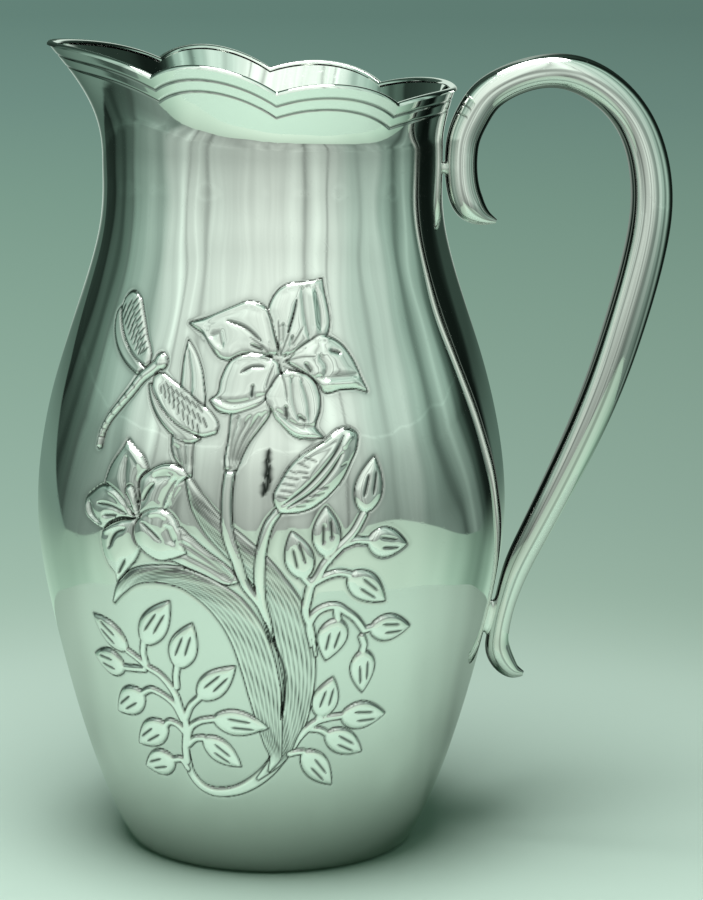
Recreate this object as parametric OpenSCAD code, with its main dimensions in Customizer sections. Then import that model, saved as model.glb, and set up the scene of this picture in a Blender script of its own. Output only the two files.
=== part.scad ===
// Water pitcher in polished silver: a raised shell with a scalloped lip, a wire along its edge,
// a pressed bottom and a hollow handle of two struck halves. All lengths are in millimetres.
// The axis of the body is Z, the spout points to -X, the handle to +X, and it stands on Z = 0.

/* [Body] */
// Largest radius of the belly, outside
belly_r = 68; // [64:0.5:72]
// Height of the largest radius
belly_z = 99; // [92:0.5:106]
// Radius at which the wall would meet the standing plane
base_r = 41.5; // [38:0.5:45]
// Lean of the wall at its foot, in degrees from upright
base_lean = 28; // [22:1:34]
// Round at the foot of the wall
base_round = 2.5; // [1.5:0.1:3.5]
// Radius of the straight neck, outside
neck_r = 48.6; // [46:0.2:51]
// Height at which the neck becomes straight
neck_z = 192; // [184:1:200]
// Thickness of the sheet
wall = 1; // [0.8:0.1:1.4]

/* [Lip and spout] */
// Straight part of the neck, below the flare
neck_straight = 6; // [5:0.5:8]
// Height of the flare at the middle cusp of the lip
flare_h = 23.5; // [20:0.5:27]
// Radius of the lip at its sides, outside
lip_r = 56.2; // [53:0.2:60]
// How far the spout reaches past the lip's radius
spout_reach = 7.3; // [5:0.1:10]
// How far the lip stands out over the neck behind the handle, where it is drawn in to clear it
back_over = 2.9; // [2:0.1:3.8]
// Slope of the lip's cusps from the spout down to the handle, in degrees
lip_slope = 5.8; // [3:0.1:8]
// Rise of the lip's lobes over its cusps
lobe_rise = 4.2; // [3:0.1:5.5]
// Half angle of the spout's lobe and of the lobe at the handle, in degrees
wide_lobe = 52; // [46:1:58]
// Radius of the half-round wire on the lip
wire_r = 1.1; // [0.8:0.1:1.4]

/* [Relief] */
// Rise of petals and buds over the wall
petal_rise = 1.5; // [1:0.1:2]
// Rise of leaves and wings over the wall
leaf_rise = 0.9; // [0.6:0.1:1.2]
// Half width of a small leaf
leaf_half = 3.7; // [3:0.1:4.4]

/* [Bottom] */
// Height of the bottom's rim, which sets how far the disc lies above the standing plane
rim_h = 4; // [3:0.5:6]
// Thickness of the bottom's sheet
bottom_t = 1; // [0.8:0.1:1.4]

/* [Handle] */
// How far the handle's middle line swings out from the line between its two joints
handle_reach = 54.5; // [48:0.5:60]
// Largest radius of the handle
handle_r = 6.1; // [5.5:0.1:6.8]
// Thickness of the handle's sheet
handle_wall = 0.9; // [0.7:0.1:1.2]
// Height of the upper joint above the foot of the neck
stud_rise = 5.5; // [4.5:0.5:7]
// Length of the solder stud between neck and handle
stud_gap = 0.8; // [0.6:0.1:1.2]
// Radius of the solder stud
stud_r = 2; // [1.5:0.1:2.4]
// Thickness of the solder pad between belly and handle
pad_gap = 1.4; // [1:0.1:2]
// Length of the solder pad
pad_l = 10.5; // [8:0.5:12]
// Width of the solder pad
pad_w = 4.4; // [3.6:0.2:5]

/* [Hidden] */
silver = "silver";

// Film of solder between pieces that seat on each other
solder = 0.08;
// Overrun of every cut
over = 1;
// Least half width of the hollow at the handle's tips, which is its vent hole
vent = 0.2;

// Rings that the wall runs through, as shares of the height and of the swell: from base to belly, and from
// there to the neck
low_ring_shares = [[0.1, 0.185], [0.2, 0.335], [0.4, 0.575], [0.6, 0.765], [0.8, 0.925], [1, 1]];
high_ring_shares = [[0.22, 0.915], [0.44, 0.675], [0.66, 0.34], [0.77, 0.175], [0.88, 0.05], [1, 0]];
// Sharpness of the flare's bend
flare_power = 2.6;
// Rise of each lobe as a share of the named rise: spout, front side, rear side, handle
lobe_shares = [1, 1.18, 0.93, 1];
// Place of the lower joint between the rings below and above it
pad_place_share = 0.3;
// Half angles, in degrees, over which spout and back fade into the round lip
spout_fade = 24;
back_fade = 30;
// Falloff of the wide and the narrow lobes
wide_power = 4;
side_power = 2;

// Columns of the shell in each lobe, and rows of its stretches. Where there is relief, columns are split, and
// rows lie about relief_row apart.
spout_cols = 20;
side_cols = 7;
back_cols = 14;
round_rows = 3;
ring_steps = 2;
neck_rows = 7;
relief_split = 2;
relief_row = 4;
wire_sides = 6;
handle_steps = 3;
handle_sides = 8;

// Middle line of the handle from the upper tip to the lower one: swing off the line between the joints as a
// share of handle_reach, place along that line, and radius as a share of handle_r
handle_shares = [
    [0.173, 0.885, 0.10], [0.116, 0.893, 0.38], [0.056, 0.911, 0.68], [0.020, 0.936, 0.77],
    [0.002, 0.976, 0.77], [-0.002, 1.020, 0.77], [0.011, 1.066, 0.79], [0.058, 1.113, 0.82],
    [0.151, 1.162, 0.80], [0.402, 1.205, 0.78], [0.652, 1.193, 0.87], [0.898, 1.107, 0.90],
    [1.006, 0.970, 0.98], [0.961, 0.839, 1.00], [0.767, 0.654, 0.98], [0.477, 0.443, 0.89],
    [0.116, 0.189, 0.71], [0.037, 0.112, 0.64], [0.006, 0.047, 0.54], [0.000, 0.000, 0.53],
    [0.008, -0.041, 0.55], [0.030, -0.073, 0.61], [0.087, -0.105, 0.54], [0.147, -0.123, 0.36],
    [0.199, -0.129, 0.13]
];
// Radius of the handle at its two joints, as shares of handle_r
hook_share = 0.77;
foot_share = 0.53;

// Relief of the near side, which the far side repeats in mirror image. Each form runs along its middle line:
// angle in degrees from the middle of the side towards the handle, height as a share of neck_z, and half width
// as a share of belly_r.
petal_shares = [
    // Large lily and its tube
    [[0.5, 0.805, 0.03], [-4.5, 0.825, 0.08], [-10.5, 0.825, 0.1], [-16, 0.825, 0.07], [-24.5, 0.83, 0.015]],
    [[3, 0.81, 0.05], [6, 0.835, 0.12], [8, 0.86, 0.12], [11.5, 0.89, 0.045]],
    [[5, 0.78, 0.03], [10.5, 0.785, 0.075], [15, 0.78, 0.095], [20, 0.765, 0.06], [23.5, 0.74, 0.015]],
    [[0.5, 0.775, 0.03], [-3.5, 0.765, 0.075], [-9, 0.755, 0.1], [-13.5, 0.74, 0.07], [-16, 0.73, 0.015]],
    [[4, 0.765, 0.05], [4.5, 0.745, 0.095], [4.5, 0.72, 0.1], [5.5, 0.695, 0.07], [8, 0.68, 0.05]],
    [[-6, 0.72, 0.08], [-9, 0.675, 0.045], [-11, 0.635, 0.025]],
    // Bud
    [[1, 0.58, 0.015], [5, 0.6, 0.08], [9.5, 0.63, 0.1], [14.5, 0.66, 0.08], [18, 0.685, 0.03]],
    // Small lily and its tube
    [[-35, 0.58, 0.025], [-38.5, 0.61, 0.08], [-37, 0.635, 0.075], [-38, 0.66, 0.015]],
    [[-31.5, 0.575, 0.03], [-29.5, 0.595, 0.07], [-27, 0.615, 0.06], [-22.5, 0.63, 0.03]],
    [[-36, 0.565, 0.02], [-42, 0.57, 0.07], [-47, 0.56, 0.06], [-50, 0.56, 0.03]],
    [[-36, 0.55, 0.04], [-38.5, 0.52, 0.085], [-39.5, 0.49, 0.065], [-40, 0.465, 0.015]],
    [[-33, 0.545, 0.045], [-28.5, 0.54, 0.085], [-24.5, 0.53, 0.075], [-21.5, 0.52, 0.015]],
    [[-23, 0.525, 0.06], [-16.5, 0.5, 0.045], [-10, 0.48, 0.025]]
];
band_shares = [
    // Strap leaves
    [[-42, 0.425, 0.01], [-34.5, 0.47, 0.035], [-22, 0.48, 0.045], [-11, 0.435, 0.065], [-4.5, 0.355, 0.07],
        [-1.5, 0.265, 0.06], [1.5, 0.2, 0.04]],
    [[-21, 0.615, 0.015], [-14, 0.555, 0.045], [-5, 0.505, 0.055], [2, 0.44, 0.065], [5.5, 0.36, 0.07],
        [5.5, 0.28, 0.06], [2.5, 0.215, 0.04]],
    // Lance leaf
    [[-24.5, 0.805, 0.01], [-22, 0.76, 0.05], [-23, 0.675, 0.05], [-21.5, 0.625, 0.02]],
    // Wings of the dragonfly
    [[-36, 0.77, 0.02], [-43, 0.81, 0.065], [-48.5, 0.85, 0.045]],
    [[-33, 0.75, 0.02], [-25.5, 0.715, 0.065], [-17, 0.69, 0.045]]
];
// Small leaves: angle and height of the base, then of the tip
leaf_shares = [
    [-40, 0.355, -50.5, 0.4], [-42, 0.325, -53, 0.335], [-34, 0.37, -25.5, 0.44], [-25.5, 0.34, -20, 0.41],
    [-20, 0.295, -10, 0.345], [-16.5, 0.26, -2, 0.25], [-20, 0.23, -9.5, 0.185], [-37, 0.29, -47.5, 0.25],
    [-31, 0.245, -42, 0.205], [-30, 0.185, -41, 0.17], [21, 0.575, 24, 0.65], [12, 0.515, 11.5, 0.585],
    [6.5, 0.48, 3.5, 0.55], [21.5, 0.53, 32, 0.52], [17, 0.485, 26.5, 0.44], [15, 0.42, 12.5, 0.355],
    [23.5, 0.4, 35, 0.395], [22, 0.365, 23, 0.3], [12, 0.265, 14.5, 0.33], [18, 0.265, 31, 0.26],
    [14, 0.24, 25.5, 0.205], [8, 0.21, 17.5, 0.155]
];
// Outline of a small leaf: place along it, and half width as a share of leaf_half
leaf_outline_shares = [[0, 0.4], [0.4, 1], [1, 0.2]];
// Part of a form's half width over which it rises from its edge
slope_share = 0.6;
// Angles between which a side has relief, in degrees, and rings of the wall that bound it below and above
relief_turns = [-54, 37];
relief_rings = [2, 11];

// Plain curves

function spline(a, b, c, d, t) =
    ((2 * b) + (c - a) * t + (2 * a - 5 * b + 4 * c - d) * t * t + (3 * b - a - 3 * c + d) * pow(t, 3)) / 2;
function spline_slope(a, b, c, d, t) =
    ((c - a) + 2 * (2 * a - 5 * b + 4 * c - d) * t + 3 * (3 * b - a - 3 * c + d) * t * t) / 2;
function unit(v) = v / norm(v);
function running(counts) = [for (k = 0, sum = 0; k < len(counts); sum = sum + counts[k], k = k + 1) sum];
function bell(x) = exp(-x * x);

// Wall of the body, as [radius, height] points of its outside

round_run = base_round / tan((90 + base_lean) / 2);
wall_foot = [base_r + round_run * sin(base_lean), round_run * cos(base_lean)];
rings = concat(
    [wall_foot],
    [for (s = low_ring_shares) [base_r + (belly_r - base_r) * s[1], belly_z * s[0]]],
    [for (s = high_ring_shares) [neck_r + (belly_r - neck_r) * s[1], belly_z + (neck_z - belly_z) * s[0]]],
    [[neck_r, neck_z + neck_straight]]
);
neck_ring = len(rings) - 2;
pad_ring = 4;
function wall_point(i, t) = spline(rings[max(0, i - 1)], rings[i], rings[i + 1], rings[i + 2], t);
round_turn = 90 - base_lean;
round_points = [for (k = [0:round_rows - 1]) let (a = -90 + round_turn * k / round_rows)
    [base_r - round_run + base_round * cos(a), base_round * (1 + sin(a))]];
function rows_between(first, last) =
    [for (i = [first:last - 1]) for (j = [0:ring_steps - 1]) wall_point(i, j / ring_steps)];
function close_rows(i) = round((rings[i + 1][1] - rings[i][1]) / relief_row);
low_rows = concat(round_points, rows_between(0, relief_rings[0]));
relief_rows = [for (i = [relief_rings[0]:relief_rings[1] - 1]) for (j = [0:close_rows(i) - 1])
    wall_point(i, j / close_rows(i))];
high_rows = concat(rows_between(relief_rings[1], neck_ring), [rings[neck_ring]]);

// Lip, by the turn round the axis from the spout

flare_z = neck_z + neck_straight;
lip_z = flare_z + flare_h;
middle_cusp = 90;
cusps = [-wide_lobe, wide_lobe, middle_cusp, 180 - wide_lobe, 180 + wide_lobe, 360 - middle_cusp,
    360 - wide_lobe];
lobe_kinds = [0, 1, 2, 3, 2, 1];
lobe_cols = [spout_cols, side_cols, side_cols, back_cols, side_cols, side_cols];

function back_turn(turn) = abs(180 - turn);
function lip_radius(turn) =
    lip_r + spout_reach * bell(turn / spout_fade) + spout_reach * bell((360 - turn) / spout_fade)
    - (lip_r - neck_r - back_over) * bell(back_turn(turn) / back_fade);
function lobe_power(kind) = kind == 0 || kind == 3 ? wide_power : side_power;
function lobe_at(lobe, share) =
    let (kind = lobe_kinds[lobe])
    lobe_rise * lobe_shares[kind] * (1 - pow(abs(2 * share - 1), lobe_power(kind)));

// Each column: its turn, the lip's radius and the height of the sheet's edge
columns = [for (l = [0:len(lobe_cols) - 1]) for (j = [0:lobe_cols[l] - 1])
    let (share = j / lobe_cols[l], turn = cusps[l] + (cusps[l + 1] - cusps[l]) * share, r = lip_radius(turn))
    [turn, r, lip_z + r * cos(turn) * tan(lip_slope) + lobe_at(l, share)]];

function flare(s) = pow(s, flare_power) * (flare_power + 1 - (flare_power - 1) * s) / 2;
function neck_point(column, share) =
    let (z = neck_z + (column[2] - neck_z) * share, s = max(0, (z - flare_z) / (column[2] - flare_z)))
    [neck_r + (column[1] - neck_r) * flare(s), z];
function place(column, rz) = [-rz[0] * cos(column[0]), -rz[0] * sin(column[0]), rz[1]];

// Relief: angle from the middle of the side that a turn lies on, and turns of the closer columns
function side_angle(turn) = let (t = (turn + 360) % 360) t < 180 ? t - middle_cusp : 360 - t - middle_cusp;
function in_relief(angle) = angle > relief_turns[0] && angle < relief_turns[1];
cell_turns = [for (i = [0:len(columns) - 1])
    [columns[i][0], i + 1 < len(columns) ? columns[i + 1][0] : columns[0][0] + 360]];
cell_splits = [for (cell = cell_turns) in_relief(side_angle((cell[0] + cell[1]) / 2)) ? relief_split : 1];
cell_starts = running(cell_splits);
close_turns = [for (i = [0:len(columns) - 1]) for (j = [0:cell_splits[i] - 1])
    cell_turns[i][0] + (cell_turns[i][1] - cell_turns[i][0]) * j / cell_splits[i]];

// Stretches of the forms, laid flat: two ends, half width at each, and rise
degree = belly_r * PI / 180;
function flat(angle, share) = [angle * degree, share * neck_z];
function stretches(rows, rise) =
    [for (i = [1:len(rows) - 1])
        [flat(rows[i - 1][0], rows[i - 1][1]), flat(rows[i][0], rows[i][1]),
            rows[i - 1][2] * belly_r, rows[i][2] * belly_r, rise]];
function leaf_rows(leaf) =
    let (base = [leaf[0], leaf[1]], tip = [leaf[2], leaf[3]])
    [for (s = leaf_outline_shares) concat(base + (tip - base) * s[0], [s[1] * leaf_half / belly_r])];
forms = concat(
    [for (rows = petal_shares) each stretches(rows, petal_rise)],
    [for (rows = band_shares) each stretches(rows, leaf_rise)],
    [for (leaf = leaf_shares) each stretches(leaf_rows(leaf), leaf_rise)]
);
function stretch_rise(at, form) =
    let (
        run = form[1] - form[0],
        share = max(0, min(1, (at - form[0]) * run / (run * run))),
        half = form[2] + (form[3] - form[2]) * share,
        off = norm(at - form[0] - run * share)
    )
    form[4] * max(0, min(1, (1 - off / half) / slope_share));
function relief_at(turn, z) =
    let (angle = side_angle(turn), at = [angle * degree, z])
    in_relief(angle) ? max([for (form = forms) stretch_rise(at, form)]) : 0;

outer_rings = concat(
    [for (row = low_rows) [for (c = columns) place(c, row)]],
    [for (row = relief_rows) [for (t = close_turns) place([t], row + [relief_at(t, row[1]), 0])]],
    [for (row = high_rows) [for (c = columns) place(c, row)]],
    [for (k = [1:neck_rows]) [for (c = columns) place(c, neck_point(c, k / neck_rows))]]
);
inner_rings = concat(
    [for (k = [neck_rows:-1:1]) [for (c = columns) place(c, neck_point(c, k / neck_rows) - [wall, 0])]],
    [for (k = [neck_ring:-1:0]) [for (c = columns) place(c, rings[k] - [wall, 0])]],
    [[for (c = columns) place(c, round_points[1] - [wall, 0])]]
);

// Handle, in the plane of symmetry as [x, z] points

hook_r = handle_r * hook_share;
foot_r = handle_r * foot_share;
stud_z = neck_z + stud_rise;
upper_joint = [neck_r + stud_gap + hook_r, stud_z];
pad_point = wall_point(pad_ring, pad_place_share);
pad_along = unit(spline_slope(rings[pad_ring - 1], rings[pad_ring], rings[pad_ring + 1], rings[pad_ring + 2],
    pad_place_share));
pad_out = [pad_along[1], -pad_along[0]];
lower_joint = pad_point + pad_out * (pad_gap + foot_r);
neck_along = [0, 1];
joint_run = norm(upper_joint - lower_joint);
// Line between the joints: it leaves the belly along its wall and meets the neck upright
function joint_line(s) =
    s < 0 ? lower_joint + pad_along * joint_run * s :
    s > 1 ? upper_joint + neck_along * joint_run * (s - 1) :
    lower_joint + (upper_joint - lower_joint) * s * s * (3 - 2 * s)
        + pad_along * joint_run * s * pow(1 - s, 2) - neck_along * joint_run * s * s * (1 - s);
handle_points = [for (s = handle_shares)
    let (at = joint_line(s[1]))
    [at[0] + handle_reach * s[0], at[1], handle_r * s[2]]];
last_point = len(handle_points) - 1;
handle_line = concat(
    [for (i = [0:last_point - 1]) for (j = [0:handle_steps - 1])
        spline(handle_points[max(0, i - 1)], handle_points[i], handle_points[i + 1],
            handle_points[min(last_point, i + 2)], j / handle_steps)],
    [handle_points[last_point]]
);
last_station = len(handle_line) - 1;

// One half section: the outer arc one way and the inner arc back, from the seam to the seam on the named side
function half_section(i, side) =
    let (
        here = handle_line[i],
        ahead = handle_line[min(last_station, i + 1)],
        behind = handle_line[max(0, i - 1)],
        along = unit([ahead[0] - behind[0], ahead[1] - behind[1]]),
        across = [along[1], -along[0]],
        inside = max(min(vent, here[2] / 2), here[2] - handle_wall),
        turns = [for (j = [0:handle_sides]) 180 * j / handle_sides],
        back = [for (j = [handle_sides:-1:0]) 180 * j / handle_sides]
    )
    concat(
        [for (a = turns) section_point(here, across, here[2], a, side)],
        [for (a = back) section_point(here, across, inside, a, side)]
    );
function section_point(here, across, r, a, side) =
    [here[0] + across[0] * r * cos(a), side * r * sin(a), here[1] + across[1] * r * cos(a)];

// Faces of a band of closed loops, each joined to the next

function band(count, cols) =
    [for (k = [0:count - 2]) for (i = [0:cols - 1])
        let (a = k * cols + i, b = k * cols + (i + 1) % cols, up = (k + 1) * cols)
        each [[a, up + i, up + (i + 1) % cols], [a, up + (i + 1) % cols, b]]];
// Faces of a cell with one point at each corner, split along its shorter diagonal
function corner_faces(a, b, c, d, points) =
    norm(points[a] - points[c]) < norm(points[b] - points[d]) ? [[a, d, c], [a, c, b]] : [[a, d, b], [d, c, b]];
// Faces of a cell between a run of points below and one above
function run_faces(low, high) = concat(
    [for (j = [1:len(high) - 1]) [low[0], high[j - 1], high[j]]],
    [for (j = [1:len(low) - 1]) [low[j - 1], high[len(high) - 1], low[j]]]
);
// Points of a loop along one column, where a close loop has more than one to a column
function cell_run(i, count, start) =
    count == len(columns) ? [start + i, start + (i + 1) % count] :
    [for (j = [0:cell_splits[i]]) start + (cell_starts[i] + j) % count];
function loop_faces(low_count, low, high_count, high, points) =
    low_count == high_count ?
    [for (i = [0:low_count - 1]) let (n = (i + 1) % low_count)
        each corner_faces(low + i, low + n, high + n, high + i, points)] :
    [for (i = [0:len(columns) - 1]) each run_faces(cell_run(i, low_count, low), cell_run(i, high_count, high))];
function flipped(faces) = [for (f = faces) [f[2], f[1], f[0]]];
function joined(loops) = [for (loop = loops) each loop];

module shell_mesh(loops) {
    counts = [for (loop = loops) len(loop)];
    starts = running(counts);
    points = joined(loops);
    polyhedron(points, [for (k = [0:len(loops) - 1]) let (n = (k + 1) % len(loops))
        each loop_faces(counts[k], starts[k], counts[n], starts[n], points)]);
}

module half_handle(side) {
    loops = [for (i = [0:last_station]) half_section(i, side)];
    cols = len(loops[0]);
    start = last_station * cols;
    caps = [for (j = [0:handle_sides - 1])
        let (a = j, b = j + 1, c = cols - 2 - j, d = cols - 1 - j)
        each [[a, b, c], [a, c, d], [start + a, start + c, start + b], [start + a, start + d, start + c]]];
    faces = concat(band(len(loops), cols), caps);
    polyhedron(joined(loops), side > 0 ? faces : flipped(faces));
}

// Sub-parts

module body() {
    color(silver) shell_mesh(concat(outer_rings, inner_rings));
}

module lip_wire() {
    loops = [for (k = [0:wire_sides]) let (a = 180 * k / wire_sides)
        [for (c = columns) place(c, [c[1] - wall / 2 + wire_r * cos(a), c[2] + wire_r * sin(a)])]];
    color(silver) shell_mesh(loops);
}

module bottom_disc() {
    seat_r = base_r - round_run - wall - solder;
    color(silver) difference() {
        cylinder(h = rim_h, r = seat_r, $fn = 96);
        translate([0, 0, -over]) cylinder(h = rim_h - bottom_t + over, r = seat_r - bottom_t, $fn = 96);
    }
}

module handle_near_half() {
    color(silver) half_handle(-1);
}

module handle_far_half() {
    color(silver) half_handle(1);
}

module upper_stud() {
    color(silver) difference() {
        translate([neck_r - over, 0, stud_z]) rotate([0, 90, 0])
            cylinder(h = stud_gap + hook_r + over, r = stud_r, $fn = 180);
        translate([0, 0, stud_z - stud_r - over])
            cylinder(h = 2 * (stud_r + over), r = neck_r + solder, $fn = 720);
        translate([upper_joint[0], 0, stud_z - stud_r - over])
            cylinder(h = 2 * (stud_r + over), r = hook_r + solder, $fn = 180);
    }
}

module lower_pad() {
    lean = atan2(pad_along[0], pad_along[1]);
    reach = pad_gap + foot_r - sqrt(foot_r * foot_r - pad_w * pad_w / 4);
    color(silver) translate([pad_point[0], 0, pad_point[1]]) rotate([0, lean, 0]) difference() {
        translate([solder, -pad_w / 2, -pad_l / 2]) cube([reach, pad_w, pad_l]);
        translate([pad_gap + foot_r, 0, 0])
            cylinder(h = pad_l + 2 * over, r = foot_r + solder, center = true, $fn = 48);
    }
}

body();
lip_wire();
bottom_disc();
handle_near_half();
handle_far_half();
upper_stud();
lower_pad();
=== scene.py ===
"""Looks of a polished silver water pitcher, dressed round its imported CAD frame.

Lengths are in millimetres and angles in degrees; MM turns a length into scene metres. The body's axis is
Z, the spout points to -X and the handle to +X. A place on the wall is its turn round the axis from the
spout, or, on the chased sides, its angle to the right of that side's middle together with its height.
"""

import logging
import math
from dataclasses import dataclass
from enum import Enum
from typing import Any, Callable, Sequence

import bpy
import numpy as np
from mathutils import Matrix, Vector


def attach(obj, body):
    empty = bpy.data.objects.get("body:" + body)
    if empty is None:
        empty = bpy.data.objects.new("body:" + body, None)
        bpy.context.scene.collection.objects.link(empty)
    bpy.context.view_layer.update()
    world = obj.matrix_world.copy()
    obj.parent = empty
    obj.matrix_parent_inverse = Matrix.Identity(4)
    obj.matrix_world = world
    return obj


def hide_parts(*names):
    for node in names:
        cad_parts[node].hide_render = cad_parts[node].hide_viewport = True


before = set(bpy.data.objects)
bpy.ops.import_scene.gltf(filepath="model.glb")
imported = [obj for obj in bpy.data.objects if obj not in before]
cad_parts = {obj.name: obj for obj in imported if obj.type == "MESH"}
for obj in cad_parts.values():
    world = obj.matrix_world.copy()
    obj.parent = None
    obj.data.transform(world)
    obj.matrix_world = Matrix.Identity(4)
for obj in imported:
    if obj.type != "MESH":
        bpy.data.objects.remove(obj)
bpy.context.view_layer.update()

log = logging.getLogger("pitcher")

MM = 0.001
TINY = 1e-12
PATINA_AND_SHADE = "patina_and_shade"
AROUND = "around"
WHITE = (1.0, 1.0, 1.0)
Array = np.ndarray
Pair = tuple[float, float]
Triple = tuple[float, float, float]
Places = Sequence[Pair]
Stops = Sequence[tuple[float, Triple]]


# Shader wiring


def operator(name: str, swapped: bool = False) -> Callable[..., "Socket"]:
    """Makes the method behind one operator of a socket.

    Args:
        name: Operation of the Math node that it adds.
        swapped: Whether the other value comes first.

    Returns:
        The method.
    """

    def method(self: "Socket", other: Any = 0.0) -> "Socket":
        """Adds the Math node."""
        first, second = (other, self) if swapped else (self, other)
        return self.shader.make("ShaderNodeMath", {"operation": name}, {0: first, 1: second})

    return method


class Socket:
    """One output of a node that Python's operators work on, each adding a Math node."""

    __add__, __radd__ = operator("ADD"), operator("ADD", True)
    __sub__, __rsub__ = operator("SUBTRACT"), operator("SUBTRACT", True)
    __mul__, __rmul__ = operator("MULTIPLY"), operator("MULTIPLY", True)
    __truediv__, __rtruediv__ = operator("DIVIDE"), operator("DIVIDE", True)
    __pow__, __rpow__ = operator("POWER"), operator("POWER", True)
    __abs__, sine, arcsine = operator("ABSOLUTE"), operator("SINE"), operator("ARCSINE")
    arctan2, exponent, logarithm = operator("ARCTAN2"), operator("EXPONENT"), operator("LOGARITHM")

    def __init__(self, shader: "Shader", link: bpy.types.NodeSocket | None) -> None:
        """Wraps an output, or None for a node without one, with the tree that new nodes go into."""
        self.shader = shader
        self.link = link

    def bell(self) -> "Socket":
        """Swell that is 1 where the value is 0 and fades to both sides."""
        return (0 - self * self).exponent()


class Shader:
    """Makes and links the nodes of one material or world."""

    def __init__(self, tree: bpy.types.NodeTree) -> None:
        """Empties a tree to fill it anew."""
        self.tree = tree
        tree.nodes.clear()

    def make(
        self,
        kind: str,
        settings: dict[str, Any] | None = None,
        inputs: dict[Any, Any] | None = None,
        out: Any = 0,
    ) -> Socket:
        """Adds one node.

        Args:
            kind: The node's type.
            settings: Its own settings, set first.
            inputs: Values or sockets by the input's name or place.
            out: Name or place of the output to hand back.

        Returns:
            That output.
        """
        node = self.tree.nodes.new(kind)
        for name, value in (settings or {}).items():
            setattr(node, name, value)
        for name, value in (inputs or {}).items():
            if isinstance(value, Socket):
                self.tree.links.new(value.link, node.inputs[name])
            else:
                node.inputs[name].default_value = value
        return Socket(self, node.outputs[out] if node.outputs else None)

    def ramp(self, value: Socket, stops: Stops, bend: str = "EASE") -> Socket:
        """Turns a value into a colour.

        Args:
            value: What the ramp reads.
            stops: Place and colour of each stop, in order.
            bend: The ramp's interpolation.

        Returns:
            The colour.
        """
        colour = self.make("ShaderNodeValToRGB", {}, {"Fac": value})
        ramp = colour.link.node.color_ramp
        while len(ramp.elements) < len(stops):
            ramp.elements.new(1.0)
        for element, (place, tone) in zip(ramp.elements, stops):
            element.position = place
            element.color = (*tone, 1.0)
        ramp.interpolation = bend
        return colour

    def mix(self, share: Any, first: Any, second: Any, blend: str = "MIX") -> Socket:
        """Mixes two colours.

        Args:
            share: How much of the second colour.
            first: A colour or its socket.
            second: A colour or its socket.
            blend: The node's blend type.

        Returns:
            The mixed colour.
        """
        first, second = (c if isinstance(c, Socket) else (*c, 1.0) for c in (first, second))
        settings = {"data_type": "RGBA", "blend_type": blend, "clamp_factor": True}
        return self.make("ShaderNodeMix", settings, {0: share, 6: first, 7: second}, 2)

    def times(self, first: Any, second: Any) -> Socket:
        """Multiplies two colours."""
        return self.mix(1.0, first, second, "MULTIPLY")

    def band(self, value: Socket, low: float, high: float) -> Socket:
        """Maps a stretch of a value onto 0 to 1, with eased ends."""
        settings = {"interpolation_type": "SMOOTHSTEP", "clamp": True}
        return self.make("ShaderNodeMapRange", settings, {"Value": value, "From Min": low, "From Max": high})

    def noise(self, place: Socket, scale: float, detail: float) -> Socket:
        """Soft noise about 0.5, by its patches per metre and its finer octaves."""
        return self.make("ShaderNodeTexNoise", {}, {"Vector": place, "Scale": scale, "Detail": detail})

    def apart(self, place: Socket) -> list[Socket]:
        """The three parts of a vector."""
        node = self.make("ShaderNodeSeparateXYZ", {}, {0: place}).link.node
        return [Socket(self, link) for link in node.outputs]

    def vector(self, *parts: Any) -> Socket:
        """A vector from its three parts."""
        return self.make("ShaderNodeCombineXYZ", {}, dict(enumerate(parts)))

    def colour(self, *parts: Any) -> Socket:
        """A colour from its three parts, or a grey from one."""
        parts = parts * 3 if len(parts) == 1 else parts
        return self.make("ShaderNodeCombineColor", {}, dict(enumerate(parts)))


def empty_material(name: str, glows: bool = False) -> tuple[bpy.types.Material, Shader]:
    """Makes a material without nodes.

    Args:
        name: The material's name.
        glows: Whether it gives light of its own, which then isn't sampled as a lamp.

    Returns:
        The material and its tree.
    """
    made = bpy.data.materials.new(name)
    made.use_nodes = True
    if glows:
        made.cycles.emission_sampling = "NONE"
    return made, Shader(made.node_tree)


# Finishes


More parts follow.
